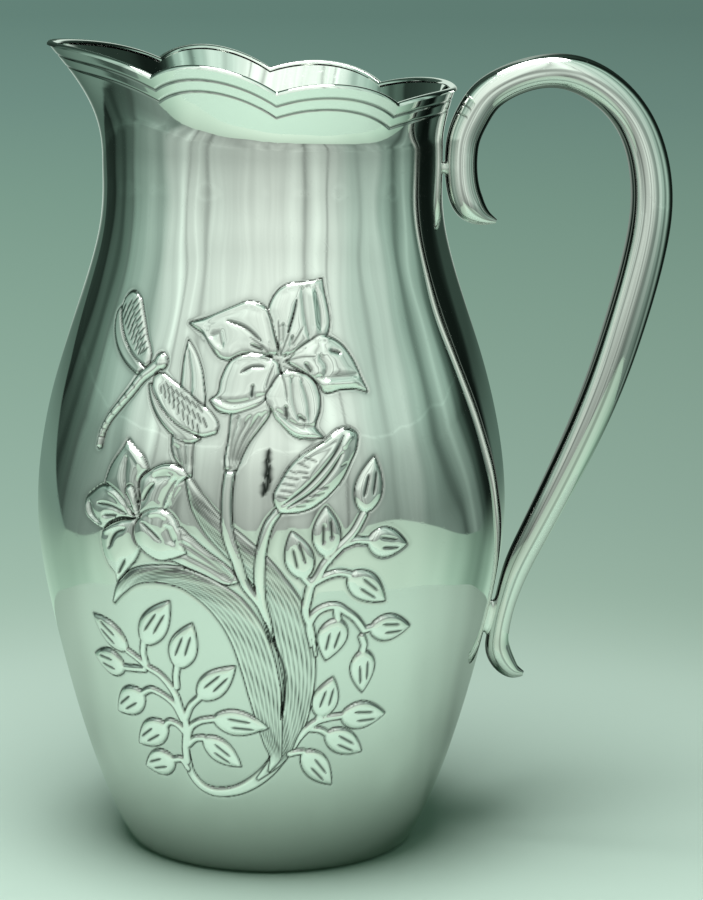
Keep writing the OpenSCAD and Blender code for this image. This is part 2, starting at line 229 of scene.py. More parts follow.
@dataclass(frozen=True)
class SilverFinish:
    """A silver surface: its tone, how sharply it mirrors, how it has worn, and painted reflection lines where
    it lists them.
    """

    name: str
    tone: Triple = (0.93, 0.94, 0.92)
    patina_and_shade: Triple = (0.016, 0.022, 0.018)
    gloss: float = 0.03
    smudge: float = 0.03
    scratch: float = 0.05
    turned_rings: float = 0.0
    painted_reflection_lines: Places = ()

    smudge_scale = 28.0
    smudge_span = (0.42, 0.72)
    smudge_share = 0.10
    smudge_level = 0.86
    scratch_tone = (0.7, 0.71, 0.69)
    scratch_share = 0.06
    scratch_span = (0.66, 0.74)
    scratch_runs = ((0.35, (900.0, 60.0, 900.0)), (-0.6, (60.0, 900.0, 1200.0)))
    scratch_spin = 0.4
    crossing_share = 0.7
    bump_depth = 0.004
    bump_strength = 0.35
    patina_gloss = 0.28
    waver_scale = 16.0
    waver = 0.08
    ring_run = 4200.0

    def material(self) -> bpy.types.Material:
        """Builds the material: polish, smudges, handling scratches, patina and painted shade where the mesh
        carries them, and painted reflection lines.

        Returns:
            The material.
        """
        made, sh = empty_material(self.name)
        place = sh.make("ShaderNodeTexCoord", out="Object")
        dark = sh.make("ShaderNodeAttribute", {"attribute_name": PATINA_AND_SHADE}, out="Fac")
        smudge = sh.band(sh.noise(place, self.smudge_scale, 3.0), *self.smudge_span)
        lines = self._scratches(sh, place)
        tone = sh.mix(smudge * self.smudge_share, self.tone, tuple(self.smudge_level * c for c in self.tone))
        tone = sh.mix(lines * self.scratch_share, tone, self.scratch_tone)
        tone = sh.mix(dark, tone, self.patina_and_shade)
        # Painted reflection: dark and pale bands along the handle by the turn round its tube, standing in for
        # the room mirrored in it.
        if self.painted_reflection_lines:
            around = sh.make("ShaderNodeAttribute", {"attribute_name": AROUND}, out="Fac")
            waver = (sh.noise(place, self.waver_scale, 1.0) - 0.5) * self.waver
            stops = [(share, (level,) * 3) for share, level in self.painted_reflection_lines]
            tone = sh.mix(sh.ramp(around + waver, stops), tone, self.patina_and_shade)
        gloss = self.gloss + smudge * self.smudge + lines * self.scratch + dark * dark * self.patina_gloss
        height = lines
        if self.turned_rings > 0.0:
            height = lines + self._rings(sh, place) * self.turned_rings
        bump = {"Strength": self.bump_strength, "Distance": self.bump_depth * MM, "Height": height}
        normal = sh.make("ShaderNodeBump", {"invert": True}, bump, "Normal")
        polish = {"Base Color": tone, "Roughness": gloss, "Metallic": 1.0, "Normal": normal}
        shader = sh.make("ShaderNodeBsdfPrincipled", {}, polish)
        sh.make("ShaderNodeOutputMaterial", {}, {"Surface": shader})
        return made

    def _scratches(self, sh: Shader, place: Socket) -> Socket:
        """Fine handling scratches that cross each other.

        Args:
            sh: The material's tree.
            place: Coordinates on the piece.

        Returns:
            A mask that is 1 in a scratch.
        """
        masks = []
        for tilt, stretch in self.scratch_runs:
            spin = {"Vector": place, "Rotation": (tilt, tilt, self.scratch_spin)}
            turned = sh.make("ShaderNodeVectorRotate", {"rotation_type": "EULER_XYZ"}, spin)
            drawn = sh.make("ShaderNodeVectorMath", {"operation": "MULTIPLY"}, {0: turned, 1: stretch})
            masks.append(sh.band(sh.noise(drawn, 1.0, 1.0), *self.scratch_span))
        return masks[0] + masks[1] * self.crossing_share

    def _rings(self, sh: Shader, place: Socket) -> Socket:
        """Rings left by turning, round the axis.

        Args:
            sh: The material's tree.
            place: Coordinates on the piece.

        Returns:
            A wave from 0 to 1 along the radius.
        """
        across, along, _ = sh.apart(place)
        radius = (across * across + along * along) ** 0.5
        return (radius * self.ring_run).sine() * 0.5 + 0.5


# Curves and meshes


def hermite(t: Any, start: Any, end: Any, first: Any, last: Any) -> Any:
    """Cubic from a start to an end at a share of the way, with the slope over the whole way at each."""
    low = start * (1 + 2 * t) * (1 - t) ** 2 + first * t * (1 - t) ** 2
    return low + end * t * t * (3 - 2 * t) - last * t * t * (1 - t)


def even_cubic(x: Array, y: Array, at: Array, ends: Pair) -> Array:
    """Smooth curve through values, with its slope set at both ends.

    Args:
        x: Rising places of the values.
        y: What the curve passes through.
        at: Where it is read.
        ends: Its first and last slope.

    Returns:
        The curve at those places.
    """
    run, rise = np.diff(x), np.diff(y) / np.diff(x)
    count = len(x)
    system, right = np.zeros((count, count)), np.zeros(count)
    system[0, 0] = system[-1, -1] = 1.0
    right[0], right[-1] = ends
    for i in range(1, count - 1):
        system[i, i - 1:i + 2] = run[i], 2.0 * (run[i - 1] + run[i]), run[i - 1]
        right[i] = 3.0 * (run[i] * rise[i - 1] + run[i - 1] * rise[i])
    slope = np.linalg.solve(system, right)
    i = np.clip(np.searchsorted(x, at, side="right") - 1, 0, count - 2)
    return hermite((at - x[i]) / run[i], y[i], y[i + 1], slope[i] * run[i], slope[i + 1] * run[i])


def flowing(points: Array, steps: int, closed: bool = False, corner: float = 62.0) -> Array:
    """Flowing line through points, which keeps corners that turn sharply.

    Args:
        points: Rows of places.
        steps: Pieces between two points.
        closed: Whether the line joins its start.
        corner: Turn in degrees above which a point stays a corner.

    Returns:
        The line's places, without a repeat of the first one where it is closed.
    """
    count = len(points)
    before, after = np.roll(points, 1, axis=0), np.roll(points, -1, axis=0)
    if not closed:
        before[0], after[-1] = points[0], points[-1]
    into, out = points - before, after - points
    size = np.linalg.norm(into, axis=1) * np.linalg.norm(out, axis=1) + TINY
    turn = np.degrees(np.arccos(np.clip(np.sum(into * out, axis=1) / size, -1.0, 1.0)))
    sharp = turn > corner
    lead = np.linalg.norm(into, axis=1)[:, None] + TINY
    tail = np.linalg.norm(out, axis=1)[:, None] + TINY
    tangent = (into / lead * tail + out / tail * lead) / (lead + tail)
    t = np.arange(steps)[:, None] / steps
    pieces = []
    for i in range(count if closed else count - 1):
        j = (i + 1) % count
        chord = points[j] - points[i]
        run = np.linalg.norm(chord)
        first = chord if sharp[i] or (i == 0 and not closed) else tangent[i] * run
        last = chord if sharp[j] or (j == count - 1 and not closed) else tangent[j] * run
        pieces.append(hermite(t, points[i], points[j], first, last))
    if not closed:
        pieces.append(points[-1:])
    return np.concatenate(pieces)


def graded(span: float, first: float, largest: float, growth: float = 1.13) -> Array:
    """Places from 0 to a span whose steps grow.

    Args:
        span: The last place.
        first: The first step.
        largest: The widest step.
        growth: How much each step grows.

    Returns:
        The places, both ends included.
    """
    steps, total, step = [], 0.0, first
    while total < span:
        step = min(step * growth, largest)
        steps.append(step)
        total += step
    places = np.concatenate([[0.0], np.cumsum(steps)])
    return places * span / places[-1]


def ease(value: Array, low: float, high: float) -> Array:
    """Eased share of a value between two limits."""
    t = np.clip((value - low) / (high - low), 0.0, 1.0)
    return t * t * (3.0 - 2.0 * t)


def bell(off: Array, half: float | Array) -> Array:
    """Swell that is 1 in its middle and fades to both sides over its half width."""
    return np.exp(-((off / half) ** 2))


def left_of(way: Array) -> Array:
    """Way to the left of another one, of length 1."""
    return np.array([-way[1], way[0]]) / np.linalg.norm(way)


def turned_points(turn: Array, out: Array, up: Array) -> Array:
    """Points round the axis.

    Args:
        turn: Turn of each column from the spout.
        out: Radius of each point, one row a ring.
        up: Height of each point.

    Returns:
        Places in millimetres, one row each.
    """
    around = np.radians(turn)[None, :]
    places = np.broadcast_arrays(-out * np.cos(around), -out * np.sin(around), up)
    return np.stack(places, axis=-1).reshape(-1, 3)


def grid_faces(rows: int, columns: int, wrap_rows: bool, wrap_columns: bool) -> Array:
    """Faces of a grid of points.

    Args:
        rows: Rows of points.
        columns: Points in each row.
        wrap_rows: Whether the last row joins the first.
        wrap_columns: Whether each row is a ring.

    Returns:
        Four point numbers a face.
    """
    row = np.arange(rows if wrap_rows else rows - 1)[:, None]
    column = np.arange(columns if wrap_columns else columns - 1)[None, :]
    above, beside = (row + 1) % rows * columns, (column + 1) % columns
    corners = (row * columns + column, row * columns + beside, above + beside, above + column)
    return np.stack(corners, axis=-1).reshape(-1, 4)


def capped_faces(rows: int, columns: int) -> list[list[int]]:
    """Faces of a row of rings with a cap at each end.

    Args:
        rows: Rings of points.
        columns: Points in each ring.

    Returns:
        Point numbers of each face.
    """
    start = (rows - 1) * columns
    caps = [list(range(columns))[::-1], list(range(start, start + columns))]
    return grid_faces(rows, columns, False, True).tolist() + caps


class Piece:
    """One visible piece: a mesh that rides on the frame, stands for CAD nodes and has a finish."""

    def __init__(self, name: str, points: Array, faces: Sequence[Sequence[int]]) -> None:
        """Makes the mesh.

        Args:
            name: The piece's name.
            points: Places in millimetres, one row each.
            faces: Point numbers of each face, seen from outside against the clock.
        """
        mesh = bpy.data.meshes.new(name)
        mesh.vertices.add(len(points))
        mesh.vertices.foreach_set("co", (points * MM).astype(np.float32).ravel())
        sizes = np.array([len(face) for face in faces])
        starts = np.cumsum(sizes) - sizes
        mesh.loops.add(int(sizes.sum()))
        mesh.loops.foreach_set("vertex_index", np.concatenate(faces).astype(np.int32))
        mesh.polygons.add(len(sizes))
        mesh.polygons.foreach_set("loop_start", starts.astype(np.int32))
        mesh.update(calc_edges=True)
        mesh.validate()
        mesh.polygons.foreach_set("use_smooth", np.ones(len(mesh.polygons), dtype=bool))
        self.object = bpy.data.objects.new(name, mesh)
        bpy.context.scene.collection.objects.link(self.object)

    def creased(self, angle: float) -> "Piece":
        """Keeps edges sharp that bend more than an angle in degrees."""
        self.object.data.set_sharp_from_angle(angle=math.radians(angle))
        return self

    def tinted(self, name: str, values: Array) -> "Piece":
        """Stores one value a point, for the finish to read.

        Args:
            name: Its name in the mesh.
            values: The value of each point.

        Returns:
            The piece itself.
        """
        stored = self.object.data.attributes.new(name, "FLOAT", "POINT")
        stored.data.foreach_set("value", values.astype(np.float32).ravel())
        return self

    def dressed(self, finish: SilverFinish, slot: str, *nodes: str) -> None:
        """Gives the piece its finish and its place in the frame.

        Args:
            finish: The finish.
            slot: The record's material slot; not used.
            nodes: CAD nodes that the piece stands for.
        """
        mesh = self.object.data
        mesh.materials.append(finish.material())
        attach(self.object, "root")
        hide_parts(*nodes)
        log.info("%s: %d faces, stands for %s", self.object.name, len(mesh.polygons), ", ".join(nodes))


# Body of the pitcher


@dataclass(frozen=True)
class Wall:
    """Outside of the raised shell, up to the flare."""

    belly_r: float = 68.0
    belly_z: float = 99.0
    base_r: float = 41.5
    base_lean: float = 28.0
    base_round: float = 2.5
    neck_r: float = 48.6
    neck_z: float = 192.0
    neck_straight: float = 6.0
    thick: float = 1.0
    low_shares: Places = ((0.1, 0.185), (0.2, 0.335), (0.4, 0.575), (0.6, 0.765), (0.8, 0.925), (1.0, 1.0))
    high_shares: Places = (
        (0.22, 0.915), (0.44, 0.675), (0.66, 0.34), (0.77, 0.175), (0.88, 0.05), (1.0, 0.0),
    )

    @property
    def round_run(self) -> float:
        """Length that the round at the foot takes off the wall."""
        return self.base_round / math.tan(math.radians((90.0 + self.base_lean) / 2.0))

    @property
    def foot_z(self) -> float:
        """Height at which the round at the foot ends."""
        return self.round_run * math.cos(math.radians(self.base_lean))

    @property
    def flare_z(self) -> float:
        """Height at which the flare starts."""
        return self.neck_z + self.neck_straight

    def rings(self) -> Array:
        """Rings that the wall runs through.

        Returns:
            Radius and height of each.
        """
        swell, draw, rise = self.belly_r - self.base_r, self.belly_r - self.neck_r, self.neck_z - self.belly_z
        foot = [(self.base_r + self.round_run * math.sin(math.radians(self.base_lean)), self.foot_z)]
        low = [(self.base_r + swell * out, self.belly_z * up) for up, out in self.low_shares]
        high = [(self.neck_r + draw * out, self.belly_z + rise * up) for up, out in self.high_shares]
        return np.array(foot + low + high + [(self.neck_r, self.flare_z)])

    def radius(self, height: Array) -> Array:
        """Radius of the wall between foot and flare.

        Args:
            height: Heights of the places.

        Returns:
            The radius at each.
        """
        rings = self.rings()
        ends = (math.tan(math.radians(self.base_lean)), 0.0)
        return even_cubic(rings[:, 1], rings[:, 0], height, ends)

    def slope(self, height: Array) -> Array:
        """Change of the radius with the height.

        Args:
            height: Heights of the places.

        Returns:
            The change at each.
        """
        step = 0.05
        height = np.clip(height, self.foot_z + step, self.flare_z - step)
        return (self.radius(height + step) - self.radius(height - step)) / (2.0 * step)

    def foot_arc(self, rows: int) -> Array:
        """Radius and height along the round at the foot, from the standing plane up.

        Args:
            rows: How many places.

        Returns:
            The places, without the one where the wall starts.
        """
        turn = np.radians(-90.0 + (90.0 - self.base_lean) * np.arange(rows) / rows)
        out = self.base_r - self.round_run + self.base_round * np.cos(turn)
        return np.stack([out, self.base_round * (1.0 + np.sin(turn))], axis=1)


@dataclass(frozen=True)
class Lip:
    """Scalloped lip, by the turn round the axis from the spout."""

    flare_h: float = 23.5
    lip_r: float = 56.2
    spout_reach: float = 7.3
    back_over: float = 2.9
    slope: float = 5.8
    lobe_rise: float = 4.2
    cusps: tuple[float, ...] = (52.0, 90.0, 128.0)
    lobe_shares: tuple[float, ...] = (1.0, 1.18, 0.93, 1.0)
    lobe_powers: tuple[float, ...] = (4.0, 2.0, 2.0, 4.0)
    spout_fade: float = 24.0
    back_fade: float = 30.0
    flare_power: float = 1.5
    spout_power: float = 2.6
    bend_share: float = 0.35
    bend_rise: float = 0.12
    bend_turns: Pair = (38.0, 22.0)
    spout_bend: float = 0.9
    mean_share: float = 0.6
    wire_r: float = 1.1

    @staticmethod
    def from_spout(turn: Array) -> Array:
        """Turn to either side of the spout, from 0 to 180."""
        return np.abs((turn + 180.0) % 360.0 - 180.0)

    def radius(self, turn: Array, neck_r: float) -> Array:
        """Radius of the lip.

        Args:
            turn: Turns from the spout.
            neck_r: Radius of the neck.

        Returns:
            The radius at each turn.
        """
        turn = self.from_spout(turn)
        spout = self.spout_reach * bell(turn, self.spout_fade)
        drawn = self.lip_r - neck_r - self.back_over
        return self.lip_r + spout - drawn * bell(180.0 - turn, self.back_fade)

    def tilt(self, turn: Array, neck_r: float) -> Array:
        """Height that the lip's slope adds, most at the spout."""
        return self.radius(turn, neck_r) * np.cos(np.radians(turn)) * math.tan(math.radians(self.slope))

    def edge(self, turn: Array, wall: Wall) -> Array:
        """Height of the sheet's edge.

        Args:
            turn: Turns from the spout.
            wall: The wall below.

        Returns:
            The height at each turn.
        """
        turn = self.from_spout(turn)
        limits = [(-self.cusps[0], self.cusps[0])]
        limits += list(zip(self.cusps[:-1], self.cusps[1:]))
        limits += [(self.cusps[-1], 360.0 - self.cusps[-1])]
        rise = np.zeros_like(turn)
        for (low, high), share, power in zip(limits, self.lobe_shares, self.lobe_powers):
            across = np.abs(2.0 * (turn - low) / (high - low) - 1.0)
            rise = np.where(across <= 1.0, self.lobe_rise * share * (1.0 - across ** power), rise)
        return wall.flare_z + self.flare_h + self.tilt(turn, wall.neck_r) + rise

    def bend(self, turn: Array, wall: Wall) -> tuple[Array, Array, Array]:
        """Where the flare bends out of the neck.

        Args:
            turn: Turns from the spout.
            wall: The wall below.

        Returns:
            Full height of the flare, share of it below the bend, and how much of the spout each turn has.
        """
        around = np.cos(np.radians(turn))
        mean_lobe = self.lobe_rise * (self.mean_share + (1.0 - self.mean_share) * around ** 2)
        full = self.flare_h + self.tilt(turn, wall.neck_r) + mean_lobe
        turn = self.from_spout(turn)
        middle, run = self.bend_turns
        spout = bell(turn, self.spout_fade)
        share = self.bend_share * (1.0 - self.spout_bend * spout) + self.bend_rise * bell(turn - middle, run)
        return full, share, spout

    def opened(self, turn: Array, height: Array, wall: Wall) -> Array:
        """Radius of the flare, which opens evenly and which the scalloped edge cuts.

        Args:
            turn: Turns from the spout.
            height: Heights above the neck.
            wall: The wall below.

        Returns:
            The radius at each turn and height.
        """
        wide = self.radius(turn, wall.neck_r) - wall.neck_r
        full, bend, spout = self.bend(turn, wall)
        power = self.flare_power + (self.spout_power - self.flare_power) * spout
        share = np.clip(((height - wall.flare_z) / full - bend) / (1.0 - bend), 0.0, None)
        return wall.neck_r + wide * share ** power * (power + 1.0 - (power - 1.0) * share) / 2.0


# Chased relief


ARC = 1.117
FAR = 99.0


@dataclass(frozen=True)
class Rise:
    """How a chased form stands up: height of its rim, of its crown above that, and run of the slope."""

    rim: float
    crown: float
    run: float


@dataclass(frozen=True)
class Cut:
    """A line cut with a tracer: its half width, its depth and its patina."""

    half: float
    depth: float
    dark: float


Form = tuple[Array, Rise]


class Chasing:
    """Height and patina of one chased side, with painted shade round its forms, drawn form by form on a grid
    of angles and heights.
    """

    edge_half = 0.24
    line_out = 0.2
    line_half = 0.33
    line_depth = 0.22
    line_covered = 0.5
    halo_shade = 0.2
    halo_shade_out = 0.6
    halo_shade_half = 1.1
    margin = 2.5
    line_margin = 4.0
    line_steps = 6
    loop_steps = 5
    cut_ends = (4.0, 0.35)
    crest_ends = (5.0, 0.2)
    crest_polish = 0.9

    def __init__(self, angles: Array, heights: Array) -> None:
        """Starts a smooth side.

        Args:
            angles: Angle of each column, to the right of the side's middle.
            heights: Height of each row.
        """
        self.across = angles * ARC
        self.up = heights
        self.height = np.zeros((len(heights), len(angles)))
        self.patina_and_shade = np.zeros_like(self.height)

    @staticmethod
    def millimetres(places: Places) -> Array:
        """Places given as angle and height, in millimetres on the wall."""
        return np.array(places, float) * (ARC, 1.0)

    @staticmethod
    def angles(points: Sequence[Array]) -> Array:
        """Places given in millimetres on the wall, as angle and height."""
        return np.array(points) / (ARC, 1.0)

    def _window(self, line: Array, margin: float) -> tuple[slice, slice]:
        """Rows and columns near a line.

        Args:
            line: Places in millimetres.
            margin: How far round the line.

        Returns:
            The rows and the columns.
        """
        low, high = line.min(axis=0) - margin, line.max(axis=0) + margin
        rows = slice(*np.searchsorted(self.up, (low[1], high[1])))
        return rows, slice(*np.searchsorted(self.across, (low[0], high[0])))

    @staticmethod
    def _to_span(u: Array, v: Array, start: Array, way: Array) -> tuple[Array, Array]:
        """Nearest place on a straight span.

        Args:
            u: Place of each column.
            v: Place of each row.
            start: Start of the span.
            way: From its start to its end.

        Returns:
            Share along the span, and the squared distance to that place.
        """
        du, dv = u - start[0], v - start[1]
        share = np.clip((du * way[0] + dv * way[1]) / (way[0] ** 2 + way[1] ** 2 + TINY), 0.0, 1.0)
        return share, (du - share * way[0]) ** 2 + (dv - share * way[1]) ** 2

    def inside(self, loop: Array) -> Array:
        """Depth inside a closed outline.

        Args:
            loop: The outline in millimetres.

        Returns:
            Millimetres from the outline at each point of the grid, less than zero outside.
        """
        depth = np.full_like(self.height, -FAR)
        rows, columns = self._window(loop, self.margin)
        u, v = self.across[None, columns], self.up[rows, None]
        nearest = np.full((v.shape[0], u.shape[1]), FAR ** 2)
        within = np.zeros(nearest.shape, bool)
        for start, end in zip(loop, np.roll(loop, -1, axis=0)):
            way = end - start
            nearest = np.minimum(nearest, self._to_span(u, v, start, way)[1])
            if way[1] != 0.0:
                beside = u < start[0] + way[0] * (v - start[1]) / way[1]
                within ^= ((start[1] <= v) != (end[1] <= v)) & beside
        nearest = np.sqrt(nearest)
        depth[rows, columns] = np.where(within, nearest, -nearest)
        return depth

    def along(self, line: Array, margin: float) -> tuple[Array, Array]:
        """Place of each point of the grid against an open line.

        Args:
            line: The line in millimetres.
            margin: How far round the line is worked out.

        Returns:
            The distance with its side as its sign, less than zero on the right, and the share along the line.
        """
        distance, share = np.full_like(self.height, FAR), np.zeros_like(self.height)
        rows, columns = self._window(line, margin)
        u, v = self.across[None, columns], self.up[rows, None]
        best = np.full((v.shape[0], u.shape[1]), FAR ** 2)
        place, side = np.zeros_like(best), np.ones_like(best)
        spans = np.linalg.norm(np.diff(line, axis=0), axis=1)
        starts = np.concatenate([[0.0], np.cumsum(spans)])
        for start, way, span, run in zip(line, np.diff(line, axis=0), spans, starts):
            t, gap = self._to_span(u, v, start, way)
            closer = gap < best
            best = np.where(closer, gap, best)
            place = np.where(closer, (run + t * span) / starts[-1], place)
            turned = np.sign(way[0] * (v - start[1]) - way[1] * (u - start[0]) + TINY)
            side = np.where(closer, turned, side)
        distance[rows, columns] = np.sqrt(best) * side
        share[rows, columns] = place
        return distance, share

    def loop(self, outline: Places) -> Array:
        """Depth inside a flowing outline given by angle and height."""
        return self.inside(flowing(self.millimetres(outline), self.loop_steps, closed=True))

    def stem(self, places: Places, halves: Sequence[float], rise: Rise) -> Form:
        """A stem along a line.

        Args:
            places: Angle and height of the points it runs through.
            halves: Half width in millimetres, evenly spaced along it.
            rise: How it stands up.

        Returns:
            Depth inside the stem, and how it rises.
        """
        line = flowing(self.millimetres(places), self.line_steps)
        distance, share = self.along(line, max(halves) + self.margin)
        half = np.interp(share, np.linspace(0.0, 1.0, len(halves)), halves)
        return half - np.abs(distance), rise

    def emboss(self, *forms: Form) -> Array:
        """Raises forms that flow into each other, with one chased line round them all and a soft painted
        shade outside it.

        Args:
            forms: Depth inside each form, and how it rises.

        Returns:
            How much of each point lies on the forms.
        """
        joined = np.full_like(self.height, -FAR)
        top = np.full_like(self.height, -FAR)
        for depth, rise in forms:
            bulge = 1.0 - (1.0 - np.clip(depth / rise.run, 0.0, 1.0)) ** 2
            near = depth > -2.0 * self.edge_half
            top = np.where(near, np.maximum(top, rise.rim + rise.crown * bulge), top)
            joined = np.maximum(joined, depth)
        cover = ease(joined, -self.edge_half, self.edge_half)
        groove = bell(joined + self.line_out, self.line_half)
        self.height = self.height * (1.0 - cover) + np.maximum(top, 0.0) * cover - self.line_depth * groove
        # Painted shade: a soft dark halo on the ground just outside the line, as if the relief shaded it.
        soft = self.halo_shade * bell(joined + self.halo_shade_out, self.halo_shade_half) * (1.0 - cover)
        dark = np.maximum(groove * (1.0 - self.line_covered * cover), soft)
        self.patina_and_shade = np.maximum(self.patina_and_shade * (1.0 - cover), dark)
        return cover

    def cut(self, places: Places, cut: Cut) -> None:
        """Cuts a line that fades out at both ends.

        Args:
            places: Angle and height of the points it runs through.
            cut: The line's section.
        """
        line = flowing(self.millimetres(places), self.line_steps)
        distance, share = self.along(line, self.line_margin * cut.half)
        fade, least = self.cut_ends
        half = cut.half * np.clip(fade * np.minimum(share, 1.0 - share) + least, 0.0, 1.0)
        groove = bell(distance, half)
        self.height -= cut.depth * groove
        self.patina_and_shade = np.maximum(self.patina_and_shade, cut.dark * groove)

    def crest(self, places: Places, half: float, height: float) -> None:
        """Raises a turned rim or fold along a line, and polishes it.

        Args:
            places: Angle and height of the points it runs through.
            half: Its half width.
            height: Its height.
        """
        line = flowing(self.millimetres(places), self.line_steps)
        distance, share = self.along(line, self.line_margin * half)
        fade, least = self.crest_ends
        full = np.clip(fade * np.minimum(share, 1.0 - share) + least, 0.0, 1.0)
        swell = bell(distance, half) * full
        self.height += height * swell
        self.patina_and_shade *= 1.0 - self.crest_polish * swell


@dataclass(frozen=True)
class Leaf:
    """Small pointed leaf with its own stalk, and a slit on each side of its rib."""

    base: Pair
    tip: Pair
    half_width: float
    stalk: Places = ()

    rise = Rise(0.30, 0.66, 2.3)
    stalk_rise = Rise(0.26, 0.34, 0.8)
    stalk_half = 0.85
    edge_points = 15
    swell_powers = (0.82, 0.86)
    base_share = 0.16
    slit = Cut(0.40, 0.28, 1.0)
    slit_off = 0.36
    slit_draw = 0.8
    slit_runs = ((1.0, 0.26, 0.68), (-1.0, 0.34, 0.76))

    def outline(self) -> Array:
        """Closed outline, fuller towards its base.

        Returns:
            Places in millimetres.
        """
        base, tip = Chasing.millimetres([self.base, self.tip])
        t = np.linspace(0.0, 1.0, self.edge_points)
        early, full = self.swell_powers
        half = self.half_width * (np.sin(np.pi * t ** early) ** full + self.base_share * (1.0 - t))
        half[-1] = 0.0
        side = left_of(tip - base)
        middle = base + (tip - base) * t[:, None]
        left, right = middle + side * half[:, None], middle - side * half[:, None]
        return np.concatenate([left, right[-2::-1]])

    def forms(self, chasing: Chasing) -> list[Form]:
        """Blade and stalk of the leaf.

        Args:
            chasing: The side it is drawn on.

        Returns:
            Depth inside each form, and how it rises.
        """
        made = [(chasing.inside(self.outline()), self.rise)]
        if self.stalk:
            made.append(chasing.stem([*self.stalk, self.base], (self.stalk_half,), self.stalk_rise))
        return made

    def slits(self, chasing: Chasing) -> None:
        """Cuts the two slits beside the rib.

        Args:
            chasing: The side it is drawn on.
        """
        base, tip = Chasing.millimetres([self.base, self.tip])
        axis = tip - base
        side = left_of(axis) * self.half_width * self.slit_off
        for way, low, high in self.slit_runs:
            ends = [base + axis * low + way * side, base + axis * high + way * side * self.slit_draw]
            chasing.cut(Chasing.angles(ends), self.slit)


@dataclass(frozen=True)
class Strap:
    """Long strap leaf with veins cut along it, worn here and there."""

    middle: Places
    widths: Sequence[float]
    veins: int

    rise = Rise(0.34, 0.55, 3.6)
    vein = Cut(0.32, 0.28, 0.95)
    vein_room = (0.9, 2.4)
    least_worn, wear = 0.72, 0.28
    wear_waves = ((23.0, 2.4), (61.0, 1.7))

    def draw(self, chasing: Chasing) -> None:
        """Raises the leaf and cuts its veins.

        Args:
            chasing: The side it is drawn on.
        """
        knots = Chasing.millimetres(self.middle)
        line = flowing(knots, chasing.line_steps)
        distance, share = chasing.along(line, max(self.widths) / 2.0 + chasing.margin)
        spans = np.linalg.norm(np.diff(knots, axis=0), axis=1)
        places = np.concatenate([[0.0], np.cumsum(spans)]) / spans.sum()
        half = np.interp(share, places, self.widths) / 2.0
        cover = chasing.emboss((half - np.abs(distance), self.rise))
        wide = ease(half, *self.vein_room)
        for k in range(self.veins):
            place = -1.0 + 2.0 * (k + 1.0) / (self.veins + 1.0)
            long, short = (np.sin(run * share + shift * k) for run, shift in self.wear_waves)
            worn = self.least_worn + self.wear * long * short
            groove = bell(distance - place * half, self.vein.half) * cover * wide * worn
            chasing.height -= self.vein.depth * groove
            chasing.patina_and_shade = np.maximum(chasing.patina_and_shade, self.vein.dark * groove)


@dataclass(frozen=True)
class Petal:
    """Petal of a lily: its outline, the rims that turn up, and the lines cut into it."""

    outline: Places
    rims: Sequence[Places] = ()
    folds: Sequence[Places] = ()
    slits: Sequence[Places] = ()
    rise: Rise = Rise(0.65, 0.75, 4.5)

    rim_half, rim_rise = 0.75, 0.52
    fold_cuts = (Cut(1.3, 0.42, 0.10), Cut(0.36, 0.16, 0.55))
    slit_cuts = (Cut(0.8, 0.24, 0.15), Cut(0.42, 0.30, 1.0))

    def draw(self, chasing: Chasing) -> None:
        """Raises the petal, turns its rims and cuts its folds and slits.

        Args:
            chasing: The side it is drawn on.
        """
        chasing.emboss((chasing.loop(self.outline), self.rise))
        for rim in self.rims:
            chasing.crest(rim, self.rim_half, self.rim_rise)
        for lines, cuts in ((self.folds, self.fold_cuts), (self.slits, self.slit_cuts)):
            for line in lines:
                for cut in cuts:
                    chasing.cut(line, cut)


@dataclass(frozen=True)
class Wing:
    """Wing with a rim and rows of short dashes."""

    outline: Places
    root: Pair
    tip: Pair
    dashes: int
    slant: float
    spread: float

    rise = Rise(0.40, 0.22, 1.2)
    dash = Cut(0.27, 0.16, 0.95)
    dash_length = 3.4
    dash_room = 0.7
    first_share, dash_run = 0.16, 0.78
    root_spread = 0.25
    root_length = 0.6
    fan = 14.0

    def draw(self, chasing: Chasing) -> None:
        """Raises the wing, then cuts its dashes where it is wide enough.

        Args:
            chasing: The side it is drawn on.
        """
        depth = chasing.loop(self.outline)
        chasing.emboss((depth, self.rise))
        root, tip = Chasing.millimetres([self.root, self.tip])
        axis = tip - root
        side = left_of(axis)
        for row in (-1.0, 0.0, 1.0):
            lean = math.radians(self.slant + self.fan * row)
            for k in range(self.dashes):
                share = self.first_share + self.dash_run * (k + 0.5 * (row + 1.0) / 2.0) / self.dashes
                middle = root + axis * share + side * row * self.spread * (self.root_spread + share)
                length = self.dash_length * (self.root_length + (1.0 - self.root_length) * share)
                way = np.array([math.cos(lean), math.sin(lean)]) * length / 2.0
                column = np.searchsorted(chasing.across[:-1], middle[0])
                level = np.searchsorted(chasing.up[:-1], middle[1])
                if depth[level, column] > self.dash_room:
                    chasing.cut(Chasing.angles([middle - way, middle + way]), self.dash)


